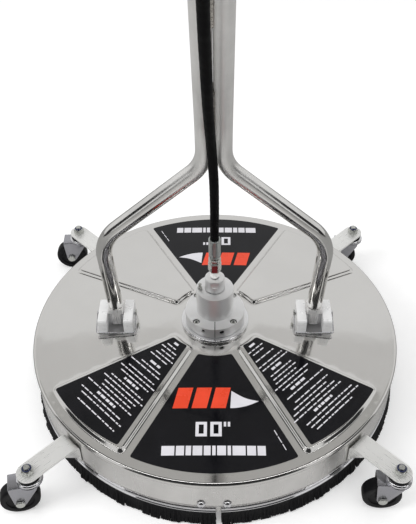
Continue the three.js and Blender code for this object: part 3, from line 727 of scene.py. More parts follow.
def add_deck():
    cover = piece("deck_cover_pressed", deck_cover(), deck_steel, "deck", instead="deck_cover",
                  smooth=50)
    thicken(cover, SHEET)
    upper, step, top = DECK_RADIUS - SHEET - GAP, 46, RIM_Z - RIM_ROLL
    lower = upper - 6
    wall = [(lower - 2, 20), (lower, 20), (lower, step - 3.4), (lower + 1, step - 2.4),
            (upper - 1, step - 1.6), (upper + 0.9, step - 0.4), (upper + 1.1, step + 1.2),
            (upper + 0.2, step + 2.4), (upper, step + 4), (upper, top), (upper - 2, top),
            (upper - 2, step + 2), (lower - 2, step)]
    piece("side_wall_formed", lathe(wall, RIM_SIDES, loop=True), wall_steel, "deck", instead="side_wall")
    section = [(298.3, 30), (303.4, 30), (304, 30.8), (304, 32.4), (302.6, 33.4), (302.4, 37), (303.4, 38),
               (304, 39.2), (304, 40.6), (303, 42), (298.3, 42)]
    for index, (side, start, end) in enumerate(HALVES):
        piece(f"channel_{side}", hoop(section, start, end, 96), chrome, "deck",
              instead=f"brush_channel_{side}")
        piece(f"bristles_{side}", brush(start, end, 11 + index), bristle, "deck",
              instead=f"brush_strip_{side}")
    for side, _ in SIDES:
        low, high = size(f"wall_screw_{side}")
        middle = (low + high) / 2
        piece(f"button_screw_{side}", button_screw(6.8, 5.2), chrome, "deck",
              at(middle.x, high.y + 0.5, middle.z - 0.5, rx=90), instead=f"wall_screw_{side}")


# ---------------------------------------------------------------- labels
LABEL_LIFT, PRINT_LIFT = 0.25, 0.45


def surface(p, lift, raised):
    """A point just above the deck, or above a petal's raised face."""
    return (p.x, p.y, deck_z(p.length) + lift + PETAL["height"] * raised)


def thin_sheet(name, verts, faces, look, thick):
    mesh = shell(verts, faces)
    bmesh.ops.recalc_face_normals(mesh, faces=mesh.faces)
    bmesh.ops.solidify(mesh, geom=mesh.faces[:], thickness=thick)
    return piece(name, mesh, look, "deck")


def label(name, outline, raised=False):
    """A thin dark sheet that follows the deck's surface."""
    outline = softened(evenly([Vector(p) for p in outline], 2), 1)
    radii = [76 + 12 * k for k in range(20)]
    verts, faces = filled([outline], polar_grid(radii, [outline], 3), lambda p: inside(p, outline))
    used = sorted({i for f in faces for i in f})
    place = {old: new for new, old in enumerate(used)}
    thin_sheet(name, [surface(verts[i], LABEL_LIFT, raised) for i in used],
               [[place[i] for i in f] for f in faces], label_black, 0.15)


class Print:
    """Flat printed shapes that follow the deck's surface."""

    def __init__(self, raised=False):
        self.verts, self.faces, self.raised = [], [], raised

    def band(self, left, right):
        """Fills between two lines of points of the same length."""
        start, n = len(self.verts), len(left)
        self.verts += [surface(p, PRINT_LIFT, self.raised) for p in left + right]
        self.faces += strips(2, n, closed=False, first=start)

    def bar(self, a, b, width, slant=0):
        """A straight bar from a to b. slant pushes its second edge along, as in sloping print."""
        a, b = Vector(a), Vector(b)
        along = (b - a).normalized()
        across = Vector((-along.y, along.x)) * width / 2
        steps = max(2, int((b - a).length / 7) + 1)
        line = [a.lerp(b, i / (steps - 1)) for i in range(steps)]
        self.band([p + across + along * slant for p in line], [p - across - along * slant for p in line])

    def words(self, centre, along, length, width):
        """A row of short bars with gaps, like a line of small print."""
        s = -length / 2
        while s < length / 2:
            word = min(random.uniform(4, 13), length / 2 - s)
            if word > 2:
                self.bar(centre + along * s, centre + along * (s + word), width)
            s += word + random.uniform(1.6, 2.6)

    def show(self, name, look):
        thin_sheet(name, self.verts, self.faces, look, 0.1)


def sector(radius_in, radius_out, corner_in, corner_out):
    """An outline across the -Y axis between two arcs, given the half angles of its corners."""
    arc_out = [polar(radius_out, -90 + corner_out * t / 30) for t in range(-30, 31)]
    arc_in = [polar(radius_in, -90 - corner_in * t / 12) for t in range(-12, 13)]
    return arc_out + arc_in


def add_title_label(name, turn):
    """The front and back labels: a sloping block mark, a size mark and a long bar, with no lettering."""
    spin = Matrix.Rotation(radians(turn), 2)
    label(name, [spin @ p for p in sector(80, 286, 19.8, 25.4)])
    red, white = Print(), Print()

    def bars(where, items, slant=0):
        for x0, x1, y0, y1 in items:
            middle = (y0 + y1) / 2
            where.bar(spin @ Vector((x0, middle)), spin @ Vector((x1, middle)), abs(y1 - y0), slant)

    bars(red, [(-60, -37, -141, -178), (-31, -8, -141, -178), (-2, 21, -141, -178)], 4)
    steps = [i / 24 for i in range(25)]
    upper = [Vector((26 + 42 * t, -147 - 5 * t - 7 * sin(pi * t) + 22 * t * t * -0.6)) for t in steps]
    lower = [Vector((24 + 42 * t, -178 + 12 * t * t)) for t in steps]
    white.band([spin @ p for p in upper], [spin @ p for p in lower])
    for x in (-28, -6):
        bars(white, [(x, x + 17, -202, -206.5), (x, x + 17, -222, -226.5), (x, x + 4.8, -206.5, -222),
                     (x + 12.2, x + 17, -206.5, -222)])
    bars(white, [(14, 17.6, -202, -210), (20, 23.6, -202, -210)])
    start = -77
    for width in (19, 12, 8, 14, 10, 5, 13, 5, 19, 13, 12):
        bars(white, [(start, start + width, -242, -257.5)])
        start += width + 2.2
    random.seed(5)
    edge = Vector((105.1, -248.8)) - Vector((88.8, -215.6))
    white.words(spin @ Vector((97, -232)), spin @ edge.normalized(), edge.length, 1.3)
    red.show(name + "_mark", print_red)
    white.show(name + "_print", print_white)


def add_notice_label(name, mirror):
    """A front petal's label: rows of small bars across the petal, with a few bolder headings."""
    corners = [(-44.7, -62.1), (-67.6, -43.6), (-248.6, -139.2), (-141.3, -242)]

    def between(a, b, steps):
        """Points from a to b at evenly changing angle and distance from the hub."""
        a, b = Vector(a), Vector(b)
        first, turn = atan2(a.y, a.x), atan2(b.y, b.x) - atan2(a.y, a.x)
        parts = [(first + turn * i / steps, a.length + (b.length - a.length) * i / steps)
                 for i in range(steps + 1)]
        return [Vector((cos(angle), sin(angle))) * reach for angle, reach in parts]

    outline = between(*corners[:2], 12) + between(*corners[2:], 40)
    outline = [Vector((p.x * mirror, p.y)) for p in outline]
    label(name, outline if mirror > 0 else outline[::-1], raised=True)
    random.seed(3 if mirror > 0 else 8)
    text, s = Print(raised=True), 86
    out = Vector((-sqrt(0.5) * mirror, -sqrt(0.5)))
    across = Vector((-out.y, out.x))
    row = 0
    while s < 266:
        room = 2 * (s * tan(radians(16.3)) - 9)
        heading = row % 6 == 0
        length = room * (0.36 if heading else random.uniform(0.62, 0.98))
        width = 4 if heading else 1.9
        text.words(out * s + across * random.uniform(-0.06, 0.06) * room, across, length, width)
        s += width / 2 + (6.5 if heading or random.random() > 0.2 else 11)
        row += 1
    text.show(name + "_print", print_white)


# ---------------------------------------------------------------- swivel
FLANGE_TOP, BODY_TOP = 148, 196
POCKETS = [polar(42.9, 45 + 90 * k) for k in range(4)]
FLANGE_RADIUS, FLANGE_SIDES, SIDE_LOW, SIDE_HIGH = 49, 128, 128.7, 147.4
SIDE_HOLES = ((-23, 141.2, 3), (13.5, 140, 4.1))  # degrees from the front, height and radius


def flange_side():
    """The flange's side wall, unrolled, bored with its set-screw holes and rolled up again."""
    reach = pi * FLANGE_RADIUS
    line = [reach * (2 * i / FLANGE_SIDES - 1) for i in range(FLANGE_SIDES + 1)]
    border = [Vector((s, SIDE_LOW)) for s in line] + [Vector((s, SIDE_HIGH)) for s in reversed(line)]
    holes = [circle(radius, 28, (radians(angle) * FLANGE_RADIUS, z)) for angle, z, radius in SIDE_HOLES]
    flat, faces = filled([border] + holes, [], lambda p: not any(inside(p, hole) for hole in holes))

    def rolled(p, radius):
        a = p.x / FLANGE_RADIUS - pi / 2
        return (radius * cos(a), radius * sin(a), p.y)

    verts = [rolled(p, FLANGE_RADIUS) for p in flat]
    for hole in holes:
        first, n = len(verts), len(hole)
        verts += [rolled(p, FLANGE_RADIUS) for p in hole] + [rolled(p, FLANGE_RADIUS - 5) for p in hole]
        faces += strips(2, n, first=first) + [list(range(first + n, first + 2 * n))]
    return shell(verts, faces)


def swivel_housing():
    """The turned block: a flange with four counterbored screw pockets, and the bearing body above."""
    edge, foot, pocket = 48.5, 31.4, 5.7

    def keep(p):
        return foot < p.length < edge and all((p - q).length > pocket * 0.99 for q in POCKETS)

    loops = [circle(edge, FLANGE_SIDES), circle(foot, 96)] + [circle(pocket, 28, q) for q in POCKETS]
    flat, faces = filled(loops, [], keep)
    wells = [moved(lathe([(pocket, FLANGE_TOP), (pocket, 142), (0, 142)], 28), at(q.x, q.y, 0))
             for q in POCKETS]
    upper = lathe([(edge, FLANGE_TOP), (48.9, 147.8), (FLANGE_RADIUS, SIDE_HIGH)], FLANGE_SIDES)
    lower = lathe([(FLANGE_RADIUS, SIDE_LOW), (48.4, 128), (20.4, 128)], FLANGE_SIDES)
    body = lathe([(foot, FLANGE_TOP), (30.8, 148.3), (30.5, 149), (30.5, 194.6), (30.2, 195.5), (29.3, 196),
                  (16.6, 196), (16.6, 195), (14, 195)], 96)
    level = shell([(p.x, p.y, FLANGE_TOP) for p in flat], faces)
    return sewn(merged(level, upper, lower, flange_side(), body, *wells))


def socket_screw(radius, height, socket, depth):
    """A cap screw's head with its hexagon socket."""
    edge = radius - 0.5
    six = [polar(socket, 60 * i + 15) for i in range(6)]
    flat, faces = filled([circle(edge, 32), six], [], lambda p: p.length < edge and not inside(p, six))
    top = shell([(p.x, p.y, height) for p in flat], faces)
    side = lathe([(edge, height), (radius - 0.1, height - 0.2), (radius, height - 0.6), (radius, 0), (0, 0)],
                 32)
    verts = [(p.x, p.y, z) for z in (height, height - depth) for p in six]
    well = shell(verts, strips(2, 6) + [list(range(6, 12))])
    return sewn(merged(top, side, well), 0.01)


def stem():
    """A turned stem with two wrench flats."""
    flat_low, flat_half = 209, 14.6
    mesh = lathe([(6.6, 196.4), (15.6, 196.4), (16, 196.9), (16, 208.4), (16, 209.1), (16, 217.8),
                  (15.8, 218.9), (15.2, 219.6), (14.6, 219.9), (13.6, 220), (6.6, 220)], 96)
    for v in mesh.verts:
        if v.co.z > flat_low:
            v.co.y = max(-flat_half, min(flat_half, v.co.y))
    return mesh


def ferrule():
    """A crimped hose end, standing on z = 0: eight flats pressed between a collar and a plain mouth."""
    levels = [(0, 8.7, 0), (0.8, 9.4, 0), (2.2, 9.4, 0), (3, 8.9, 0), (4, 9, 0), (5, 9.5, 0.3), (7.5, 9.5, 1),
              (30.5, 9.5, 1), (32.5, 9.6, 0.4), (33.5, 9.6, 0), (35, 9.4, 0), (35.5, 8.8, 0), (35.5, 7.1, 0),
              (31.5, 7.1, 0)]
    sides, verts = 64, []
    for z, radius, crimp in levels:
        for i in range(sides):
            a = 2 * pi * i / sides
            lobe = abs(sin(4 * a))
            r = radius - crimp * 0.55 * (1 - lobe) ** 2
            verts.append((r * cos(a), r * sin(a), z))
    return shell(verts, strips(len(levels), sides) + [list(range(sides))])


def thread(radius, low, high, pitch=1.4, depth=0.5):
    """A threaded end, as even ridges."""
    profile, z = [(0, low), (radius - depth, low)], low
    while z < high - pitch:
        profile += [(radius, z + pitch * 0.3), (radius, z + pitch * 0.5), (radius - depth, z + pitch)]
        z += pitch
    return lathe(profile + [(radius - depth, high), (0, high)], 32)


def add_swivel():
    bead = [(30, 121.4), (54.6, 121.4)] + arc(53.3, 124.4, 3.2, -60, 90, 10) + [(50.5, 127.6), (30, 127.6)]
    piece("polished_base_ring", lathe(bead, 128, loop=True), rim_steel, "deck", instead="hub_base_ring")
    piece("swivel_block", swivel_housing(), turned_aluminium, "deck", instead="swivel_housing",
          smooth=30)
    for i, q in enumerate(POCKETS, 1):
        piece(f"cap_screw_{i}", socket_screw(4.5, 4.5, 2.4, 3.2), zinc, "deck", at(q.x, q.y, 142.1),
              instead=f"flange_screw_{i}")
        # Painted shade: a near-black lining round each counterbore and a black disc down each hex socket
        # darken the pocket round the screw head.
        well = [(4.6, 0), (5.6, 0), (5.6, 4.4), (5.5, 4.4), (5.4, 0.3), (4.6, 0.3)]
        dark = merged(lathe(well, 32, loop=True), moved(prism(circle(2.3, 6), 0, 0.3), at(0, 0, 1.4)))
        piece(f"screw_painted_shade_{i}", dark, socket_black, "deck", at(q.x, q.y, 142.1))
    seam = merged(block(-0.55, 0.55, -48.6, -31.2, 147.9, 148.06),
                  block(-0.4, 0.4, -49.07, -48.7, 128.6, 148.0))
    piece("flange_seam", seam, socket_black, "deck")
    for (side, _), (angle, z, radius) in zip(SIDES, SIDE_HOLES):
        out = polar(FLANGE_RADIUS, -90 + angle)
        grub = moved(socket_screw(radius - 0.15, 2.5, radius * 0.5, 1.6), at(0, 0, -4))
        piece(f"set_screw_{side}", grub, socket_black, "deck", at(out.x, out.y, z, rx=90, rz=angle))
    tip = [(0, 4.2), (2.6, 4.2), (1.9, 6.2), (1.9, 7.6), (2.9, 9), (2.9, 10.4), (1.6, 11.8), (0, 11.8)]
    nipple = merged(hexagon(4.2, 0, 4.2, 0.4), turned(tip, 0.5, 32))
    piece("grease_fitting", nipple, zinc, "deck", at(-24, -3.4, BODY_TOP + GAP, rz=12),
          instead="grease_nipple")
    piece("stem_flats", stem(), turned_aluminium, "deck", instead="inlet_stem")
    turns = [pi * i / 16 for i in range(257)]
    line = [(5.9 * cos(a), 5.9 * sin(a), 221 + 13.2 * a / (16 * pi)) for a in turns]
    tape = sweep(line, 1.15, 10, swell=lambda i, a: 0.12 * sin(i * 1.7 + a))
    piece("thread_seal_tape", tape, thread_tape, "deck")
    spine = lathe([(0, 234), (5.2, 234), (5.2, 252), (8.6, 252.2), (8.2, 253.4), (7.4, 254), (7.4, 264),
                   (0, 264)], 48)
    nut = merged(hexagon(10.8, 235, 252, 0.9), spine, hexagon(10.2, 253.6, 261.4, 0.9))
    piece("swivel_nut", nut, zinc, "deck", instead="hose_nut")
    # Painted reflection: a dark red plate on the lower hexagon's front flat stands in for the front label's
    # red print mirrored in that face.
    mark = bevelled(block(-4.5, 4.5, -9.6, -9.2, 235.9, 251.2), 0.12, 1)
    piece("nut_painted_reflection", mark, painted_red_reflection, "deck")
    piece("crimped_ferrule", ferrule(), ferrule_zinc, "deck", at(0, 0, 264.3), instead="hose_ferrule_lower")


# ---------------------------------------------------------------- spinning arm
def add_rotor():
    """The hidden spray arm. The bearings, the seal and the shaft stay as they are in the frame."""
    looks = {"rotor_shaft": bearing_steel, "lower_bearing": bearing_steel, "upper_bearing": bearing_steel,
             "shaft_seal": rubber}
    for node, look in looks.items():
        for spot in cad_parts[node].material_slots:
            spot.material = look
    bar = lathe([(6, -268), (7.2, -268), (8, -267.2), (8, -24), (8, 24), (8, 267.2), (7.2, 268), (6, 268)],
                40, loop=True)
    piece("spray_tube", bar, tube_steel, "rotor", at(0, 0, 53, ry=90), instead="spray_bar")
    for side, sign in SIDES:
        tip = turned([(0, 26), (3.4, 26), (4, 27), (7.4, 32), (7.5, 38), (6.6, 38.6), (7.5, 39.2),
                      (7.5, 44.7), (0, 44.7)], 0.5, 40)
        piece(f"jet_{side}", tip, brass, "rotor", at(sign * 260, 0, 0), instead=f"nozzle_{side}")


# ---------------------------------------------------------------- handle
TUBE_RADIUS, TUBE_BORE, TUBE_SPACING = 12.7, 10.7, 12.85
PIN_Y, PIN_Z = 4.6, 132.7
LEAN_LOW, RUN_ANGLE, KINK_Z = 0.0634, radians(23), 505
CLEVIS_X = 164.5


def leg_y(z):
    """How far the legs lean back at a height."""
    return PIN_Y - LEAN_LOW * (z - PIN_Z)


def run_y(z):
    """How far the straight pair of tubes leans back at a height above the kink."""
    return leg_y(KINK_Z) - tan(RUN_ANGLE) * (z - KINK_Z)


def tube_corners(sign):
    """A tube's centre line from its foot to its grip, before its bends are rounded."""
    close, top = sign * TUBE_SPACING, 955
    lower = [(x, leg_y(z), z) for x, z in ((sign * 164.4, 143.4), (sign * 172.2, 301.9), (close, 448.2),
                                           (close, KINK_Z))]
    upper = [(close, run_y(top), top), (close + sign * 177, run_y(top) - 24, top + 35)]
    return [Vector(corner) for corner in lower + upper]


GRIP_DEPTH = 118  # how far the grip reaches down its tube


def grip():
    """A ribbed rubber grip with a collar and a rounded cap."""
    inner = TUBE_RADIUS + GAP
    profile = [(0, 118.3), (inner, 118.3), (inner, 0), (19, 0), (19.5, 0.6), (19.5, 3.6), (18.9, 4.2),
               (16.8, 5)]
    z = 8
    while z < 108:
        profile += [(16.5, z), (16.5, z + 1.8), (15.7, z + 2.3), (15.7, z + 3.4), (16.5, z + 3.9)]
        z += 4.6
    profile += [(16.5, 113), (16.2, 117), (14.6, 120), (11, 121), (0, 121)]
    return lathe(profile, 56)


def lug():
    """A collar round the foot of the tube, and a narrower tongue down to the pin."""
    heel, shoulder, top = 118.6, 142, 153
    front, back = -9.4, 17.8
    tongue = [(front, heel), (PIN_Y, heel), *arc(PIN_Y, PIN_Z, 14, -88, 0, 14), (back, shoulder + 1),
              (front, shoulder + 1)]
    collar = [(front, shoulder), (back, shoulder), (17.6, 147), (13.6, top), (front, top)]
    return merged(bevelled(across_x(tongue, -7, 7), 0.8), bevelled(across_x(collar, -12.5, 12.5), 1.2, 3))


def bead(points, radius, ripple, seed):
    """A weld bead with its ripples."""
    random.seed(seed)
    jitter = [random.uniform(-0.25, 0.25) for _ in points]
    return sweep(points, radius, 10, swell=lambda i, a: jitter[i] + ripple * sin(i * 2.1))


WELD_STEP, WELD_DEPTH = 1.6, 5.6  # along the bead, and from the tubes' middle plane


def add_welds():
    """Long beads in the front and back valleys between the two tubes, with an open slot between them."""
    for index, (low, high) in enumerate(((506, 588), (691, 926))):
        for face, side in (("front", -1), ("rear", 1)):
            line, count = [], int((high - low) / WELD_STEP)
            out = side * WELD_DEPTH
            for i in range(count + 1):
                z = low + (high - low) * i / count
                line.append((0, run_y(z) + out * cos(RUN_ANGLE), z + out * sin(RUN_ANGLE)))
            piece(f"seam_weld_{face}_{index + 1}", bead(line, 2.5, 0.18, index), weld_steel, "handle")


def foot_weld(sign):
    """The bead round a tube's foot, on its lug."""
    ring = []
    for i in range(61):
        a = 2 * pi * i / 60
        ring.append((sign * CLEVIS_X + 11.6 * cos(a), leg_y(153) + 12.4 * sin(a), 153.6))
    return bead(ring, 1.1, 0.2, 4)


GUN_Z, GUN_OUT = 865, 62  # the height on the tubes, and the distance from their centre line
GUN_PLACE = at(-7.5, run_y(GUN_Z) - GUN_OUT * cos(RUN_ANGLE), GUN_Z - GUN_OUT * sin(RUN_ANGLE), rx=23)
GUN_OUTLINE = [(-14, 0), (14, 0), (18, 20), (23, 60), (23, 140), (14, 158), (-12, 158), (-22, 148),
               (-50, 128), (-57, 92), (-54, 56), (-38, 26), (-18, 20)]
GUARD_HOLE = [(-23, 38), (-23, 122), (-43, 114), (-49, 90), (-47, 60), (-36, 36)]
TRIGGER_OUTLINE = [(-8, 112), (-8, 124), (-18, 124), (-24, 118), (-28, 96), (-33, 74), (-42, 50), (-38, 44),
                   (-33, 50), (-25, 76), (-19, 100)]


def add_gun():
    outline, hole = rounded_outline(GUN_OUTLINE, 9), rounded_outline(GUARD_HOLE, 8)
    body = bevelled(across_x(outline, -15, 15, hole), 3, 4, 40)
    piece("gun_shell", moved(body, GUN_PLACE), gun_plastic, "handle", instead="gun_body")
    seam = across_x(rounded_outline([(y * 1.002, z) for y, z in GUN_OUTLINE], 9), -0.25, 0.25, hole)
    piece("gun_parting_line", moved(seam, GUN_PLACE), socket_black, "handle")
    for k, (y, z) in enumerate(((0, 18), (13, 60), (13, 132), (-12, 146))):
        for side, sign in SIDES:
            screw = socket_screw(3.2, 0.5, 1.6, 0.9)
            piece(f"gun_screw_{side}_{k + 1}", screw, zinc, "handle",
                  GUN_PLACE @ at(sign * 14.9, y, z, ry=90 * sign))
    blade = bevelled(across_x(rounded_outline(TRIGGER_OUTLINE, 4), -4.2, 4.2), 1.1, 3, 40)
    pin = moved(round_rod(2.4, -11, 11), at(0, -13, 118, ry=90))
    piece("trigger_blade", merged(blade, pin), trigger_red, "trigger", GUN_PLACE, instead="gun_trigger")
    rear = GUN_OUT - TUBE_RADIUS - GAP
    strap = [(-14.5, 23.3), (14.5, 23.3), (14.5, rear), (11.5, rear), (11.5, 26.3), (-11.5, 26.3),
             (-11.5, rear), (-14.5, rear)]
    bracket = bevelled(prism(strap, 62, 128), 0.8, 2)
    piece("gun_strap", bracket, tube_steel, "handle", GUN_PLACE @ at(7.5, 0, 0), instead="gun_bracket")
    plug = [(0, 173), (7.5, 173), (7.5, 176), (6.4, 178), (6.4, 188), (7.5, 190), (7.5, 195), (5, 198),
            (0, 198)]
    inlet = merged(hexagon(11, 158.3, 174, 0.8), turned(plug, 0.5, 48))
    piece("inlet_plug", inlet, brass, "handle", GUN_PLACE, instead="gun_inlet")
    end = merged(moved(ferrule(), at(0, 0, -26.5, rx=180)), hexagon(10.8, -27.5, -0.3, 0.8))
    piece("upper_hose_end", end, ferrule_zinc, "handle", GUN_PLACE, instead="hose_end_upper")


def add_handle():
    for side, sign in SIDES:
        corners = tube_corners(sign)
        line = finely(route(corners, [75, 58, 150, 48], 16), 22)
        piece(f"bent_tube_{side}", sweep(line, TUBE_RADIUS, 56, TUBE_BORE), tube_steel, "handle",
              instead=f"handle_tube_{side}")
        piece(f"tube_lug_{side}", lug(), lug_steel, "handle", at(sign * CLEVIS_X, 0, 0))
        piece(f"foot_weld_{side}", foot_weld(sign), tube_steel, "handle")
        along = (corners[-1] - corners[-2]).normalized()
        turn = Vector((0, 0, 1)).rotation_difference(along).to_matrix().to_4x4()
        place = Matrix.Translation(corners[-1] - along * GRIP_DEPTH) @ turn
        piece(f"ribbed_grip_{side}", grip(), rubber, "handle", place, instead=f"hand_grip_{side}")
    add_welds()
    add_gun()


# ---------------------------------------------------------------- handle brackets
BRACKET_FRONT, BRACKET_BACK, BRACKET_GAP, BRACKET_LOW = -26.9, 26.7, 13.5, 108


def bracket_cheeks():
    """The two upright cheeks about the pin."""
    front, back, gap, top, half = BRACKET_FRONT, BRACKET_BACK, BRACKET_GAP, 144.4, 28.7
    side = [(front, BRACKET_LOW), (back, BRACKET_LOW), *arc(back - 5, top - 5, 5, 0, 90, 8),
            *arc(front + 5, top - 5, 5, 90, 180, 8)]
    return merged(*(bevelled(moved(across_x(side, 0, half - gap), at(x, 0, 0)), 0.6) for x in (-half, gap)))


def bracket_floor():
    """The web between the two cheeks."""
    return block(-BRACKET_GAP, BRACKET_GAP, BRACKET_FRONT, BRACKET_BACK, BRACKET_LOW, 118)


def lift_to_cone(mesh, x):
    """Sets the lowest points of a bracket on the deck's surface."""
    for v in mesh.verts:
        if v.co.z < BRACKET_LOW + 2:
            v.co.z = deck_z(hypot(v.co.x + x, v.co.y)) + 0.2
    return mesh


def lock_pin():
    """A pin with a square wire bail."""
    shaft = moved(turned([(0, -33), (3.2, -33), (4, -32.2), (4, 32.2), (3.2, 33), (0, 33)], 0.4, 40),
                  at(0, PIN_Y, PIN_Z, ry=90))
    bail = [(31.9, PIN_Y + 2, PIN_Z + 1), (31.9, -29.4, 118.7), (-31.9, -29.4, 118.7),
            (-31.9, PIN_Y + 2, PIN_Z + 1)]
    wire = finely(route(bail, [5, 5], 8), 6)
    return merged(shaft, sweep(wire, 1.5, 16))


def add_brackets():
    for side, sign in SIDES:
        x, pin = sign * CLEVIS_X, f"lock_pin_{side}"
        place = at(x, 0, 0)
        piece(f"bracket_{side}", lift_to_cone(bracket_cheeks(), x), block_aluminium, "deck", place,
              instead=f"clevis_{side}")
        # The floor between the cheeks takes the darker, painted-shade copy of the block's aluminium.
        piece(f"bracket_floor_{side}", lift_to_cone(bracket_floor(), x), floor_aluminium_painted_shade, "deck", place)
        piece(f"wire_pin_{side}", lock_pin(), chrome, pin, place, instead=pin)
        head = turned([(0, 0), (5.1, 0), (5.5, 0.5), (5.5, 2.4), (4.6, 3), (0, 3)], 0.3, 40)
        piece(f"pin_head_{side}", moved(head, at(0, PIN_Y, PIN_Z, ry=90)), zinc, pin,
              place @ at(-sign * 31.7 - 1.5, 0, 0))


# ---------------------------------------------------------------- casters
CASTER_XY, TRAIL, AXLE_Z = 271, 20, 30
REACH = CASTER_XY * sqrt(2)  # from the hub to a caster's swivel axis
ARM_HALF, ARM_THICK, ARM_TOP, GUSSET_Y = 17, 3, 85.5, 15.2
FLANGE_X, FLANGE_BOTTOM, ARM_BEND = 303.4, 46, 9
CASTERS = (("front_left", -1, -1, 193), ("front_right", 1, -1, 178), ("back_left", -1, 1, 182),
           ("back_right", 1, 1, 187))


def arm_sheet():
    """The outer face of the bent arm: a flange, a bend and a plate with a round end, without thickness."""
    line = [(FLANGE_X, FLANGE_BOTTOM), (FLANGE_X, 60), (FLANGE_X, ARM_TOP - ARM_BEND)]
    line += arc(FLANGE_X + ARM_BEND, ARM_TOP - ARM_BEND, ARM_BEND, 180, 90, 10)[1:]
    line += [(x, ARM_TOP) for x in (330, 350, REACH)]
    line += [(REACH + ARM_HALF * sin(radians(a)), ARM_TOP) for a in range(6, 89, 4)]
    across = [t / 8 for t in range(-8, 9)]
    verts = []
    for x, z in line:
        half = ARM_HALF if x <= REACH else sqrt(ARM_HALF ** 2 - (x - REACH) ** 2)
        verts += [(x, half * t, z) for t in across]
    return shell(verts, strips(len(line), len(across), closed=False))


def gusset(y):
    """A small web in the arm's bend."""
    x, under = FLANGE_X + ARM_THICK - 0.5, ARM_TOP - ARM_THICK
    outline = [(x, under - 24), (x + 5, under - 21), (x + 21, under - 4), (x + 24, under + 0.4),
               (x, under + 0.4)]
    return moved(bevelled(prism(outline, -1.1, 1.1), 0.4), at(0, y, 0) @ ALONG_Y)


def fork_parts():
    """The stamped fork: a plate and two cheeks, with rounded edges."""
    inner, outer, top = 11.8, 13.8, 69
    cheek = rounded_outline([(-9, top - 0.4), (-9, top - 10), (TRAIL - 9, AXLE_Z - 4),
                             (TRAIL - 5, AXLE_Z - 8.6), (TRAIL + 3.5, AXLE_Z - 8.8),
                             (TRAIL + 8.6, AXLE_Z - 3), (32, top - 8), (32, top - 0.4)], 4, 4)
    cheeks = [moved(bevelled(prism(cheek, 0, 2), 0.5, 2), at(0, y, 0) @ ALONG_Y) for y in (outer, -inner)]
    plate = bevelled(block(-9.4, 32.4, -outer, outer, top - 2, top), 1.3, 3)
    disc = turned([(0, top - 2), (19.3, top - 2), (19.7, top - 1.4), (19.7, top - 0.5), (19, top), (0, top)],
                  0.4, 64)
    return merged(plate, disc, *cheeks)


def swivel_race():
    """The bright ring of the swivel bearing, on the fork."""
    ring = [(7.8, 69), (18.7, 69), (19.2, 70.2), *arc(16.3, 71.6, 3.2, -20, 90, 8), (13.4, 74.9),
            (12.6, 73.6), (7.8, 73.6)]
    return lathe(ring, 72, loop=True)


def caster_wheel():
    """A moulded wheel with a rounded tread, dished sides and a hub."""
    half = [(5.3, 10.5), (9.2, 10.5), (9.8, 10), (10.2, 8.2), (19.6, 7.6), (20.4, 8), (21, 9.4),
            (26.6, 10.3), (28.4, 9.6), (29.4, 8), (29.9, 5), (30, 0)]
    profile = half + [(r, -z) for r, z in half[-2::-1]]
    return lathe(profile, 80, loop=True)


def add_caster(name, sx, sy, trail):
    """One caster: its sides of the machine, and the way its wheel trails in degrees."""
    arm = at(0, 0, 0, rz=degrees(atan2(sy, sx)))
    plate = piece(f"arm_{name}", arm_sheet(), plate_aluminium, "deck", arm, instead=f"caster_arm_{name}",
                  smooth=50)
    thicken(plate, ARM_THICK)
    edge = plate.modifiers.new("edge", "BEVEL")
    edge.width, edge.segments, edge.limit_method, edge.angle_limit = 0.45 * MM, 2, "ANGLE", radians(50)
    for index, y in enumerate((-GUSSET_Y, GUSSET_Y)):
        piece(f"gusset_{name}_{index + 1}", gusset(y), plate_aluminium, "deck", arm)
    axis = arm @ at(REACH, 0, 0)
    dome = [(6, 93.2), (8.1, 93.2), (7.9, 94.6), (7.0, 96), (5.4, 96.2)]
    nut = merged(hexagon(9.8, 85.8, 93.6, 0.7), turned(dome, 0.4, 48))
    bolt = merged(thread(4.9, 92, 98.9), lathe([(0, 75.3), (5, 75.3), (5, 90), (0, 90)], 32),
                  turned([(0, 62.8), (8, 62.8), (10, 66.4), (7, 66.6), (7, 75.3), (0, 75.3)], 0.5, 48))
    piece(f"lock_nut_{name}", merged(nut, bolt), zinc, "deck", axis, instead=f"caster_bolt_{name}")
    ring = turned([(5.2, 94.8), (7.15, 94.8), (7.0, 96.4), (5.6, 96.9), (5.1, 96.4)], 0.25, 48)
    piece(f"nylon_ring_{name}", ring, nylon_blue, "deck", axis)
    seal = turned([(5.2, 75.2), (15.4, 75.2), (16.2, 76), (16.2, 77.4), (14.8, 78.2), (15.8, 79.2),
                   (15.8, 80.4), (14.4, 81.2), (14.4, 82.3), (5.2, 82.3)], 0.4, 64)
    piece(f"swivel_seal_{name}", seal, rubber, "deck", axis)
    swivel = at(sx * CASTER_XY, sy * CASTER_XY, 0, rz=trail)
    piece(f"fork_{name}", fork_parts(), stamped_zinc, f"fork_{name}", swivel, instead=f"caster_fork_{name}")
    piece(f"race_ring_{name}", swivel_race(), chrome, f"fork_{name}", swivel)
    axle = swivel @ at(TRAIL, 0, AXLE_Z, rx=90)
    shaft = merged(round_rod(5, -14.2, 14.2), hexagon(7, 14.1, 17.6, 0.5),
                   turned([(0, -18.1), (5.8, -18.1), (7, -17), (7, -14.1), (0, -14.1)], 0.5, 40),
                   thread(3.6, 17.4, 18.4, 0.5, 0.2))
    piece(f"axle_bolt_{name}", shaft, zinc, f"wheel_{name}", axle, instead=f"caster_axle_{name}")
    piece(f"wheel_{name}", caster_wheel(), wheel_black, f"wheel_{name}", axle,
          instead=f"caster_wheel_{name}")


# ---------------------------------------------------------------- studio
def flat(name, width, depth, look):
    """A level rectangle, in metres."""
    x, y = width / 2, depth / 2
    data = bpy.data.meshes.new(name)
    data.from_pydata([(-x, -y, 0), (x, -y, 0), (x, y, 0), (-x, y, 0)], [], [(0, 1, 2, 3)])
    data.materials.append(look)
    return added(name, data)


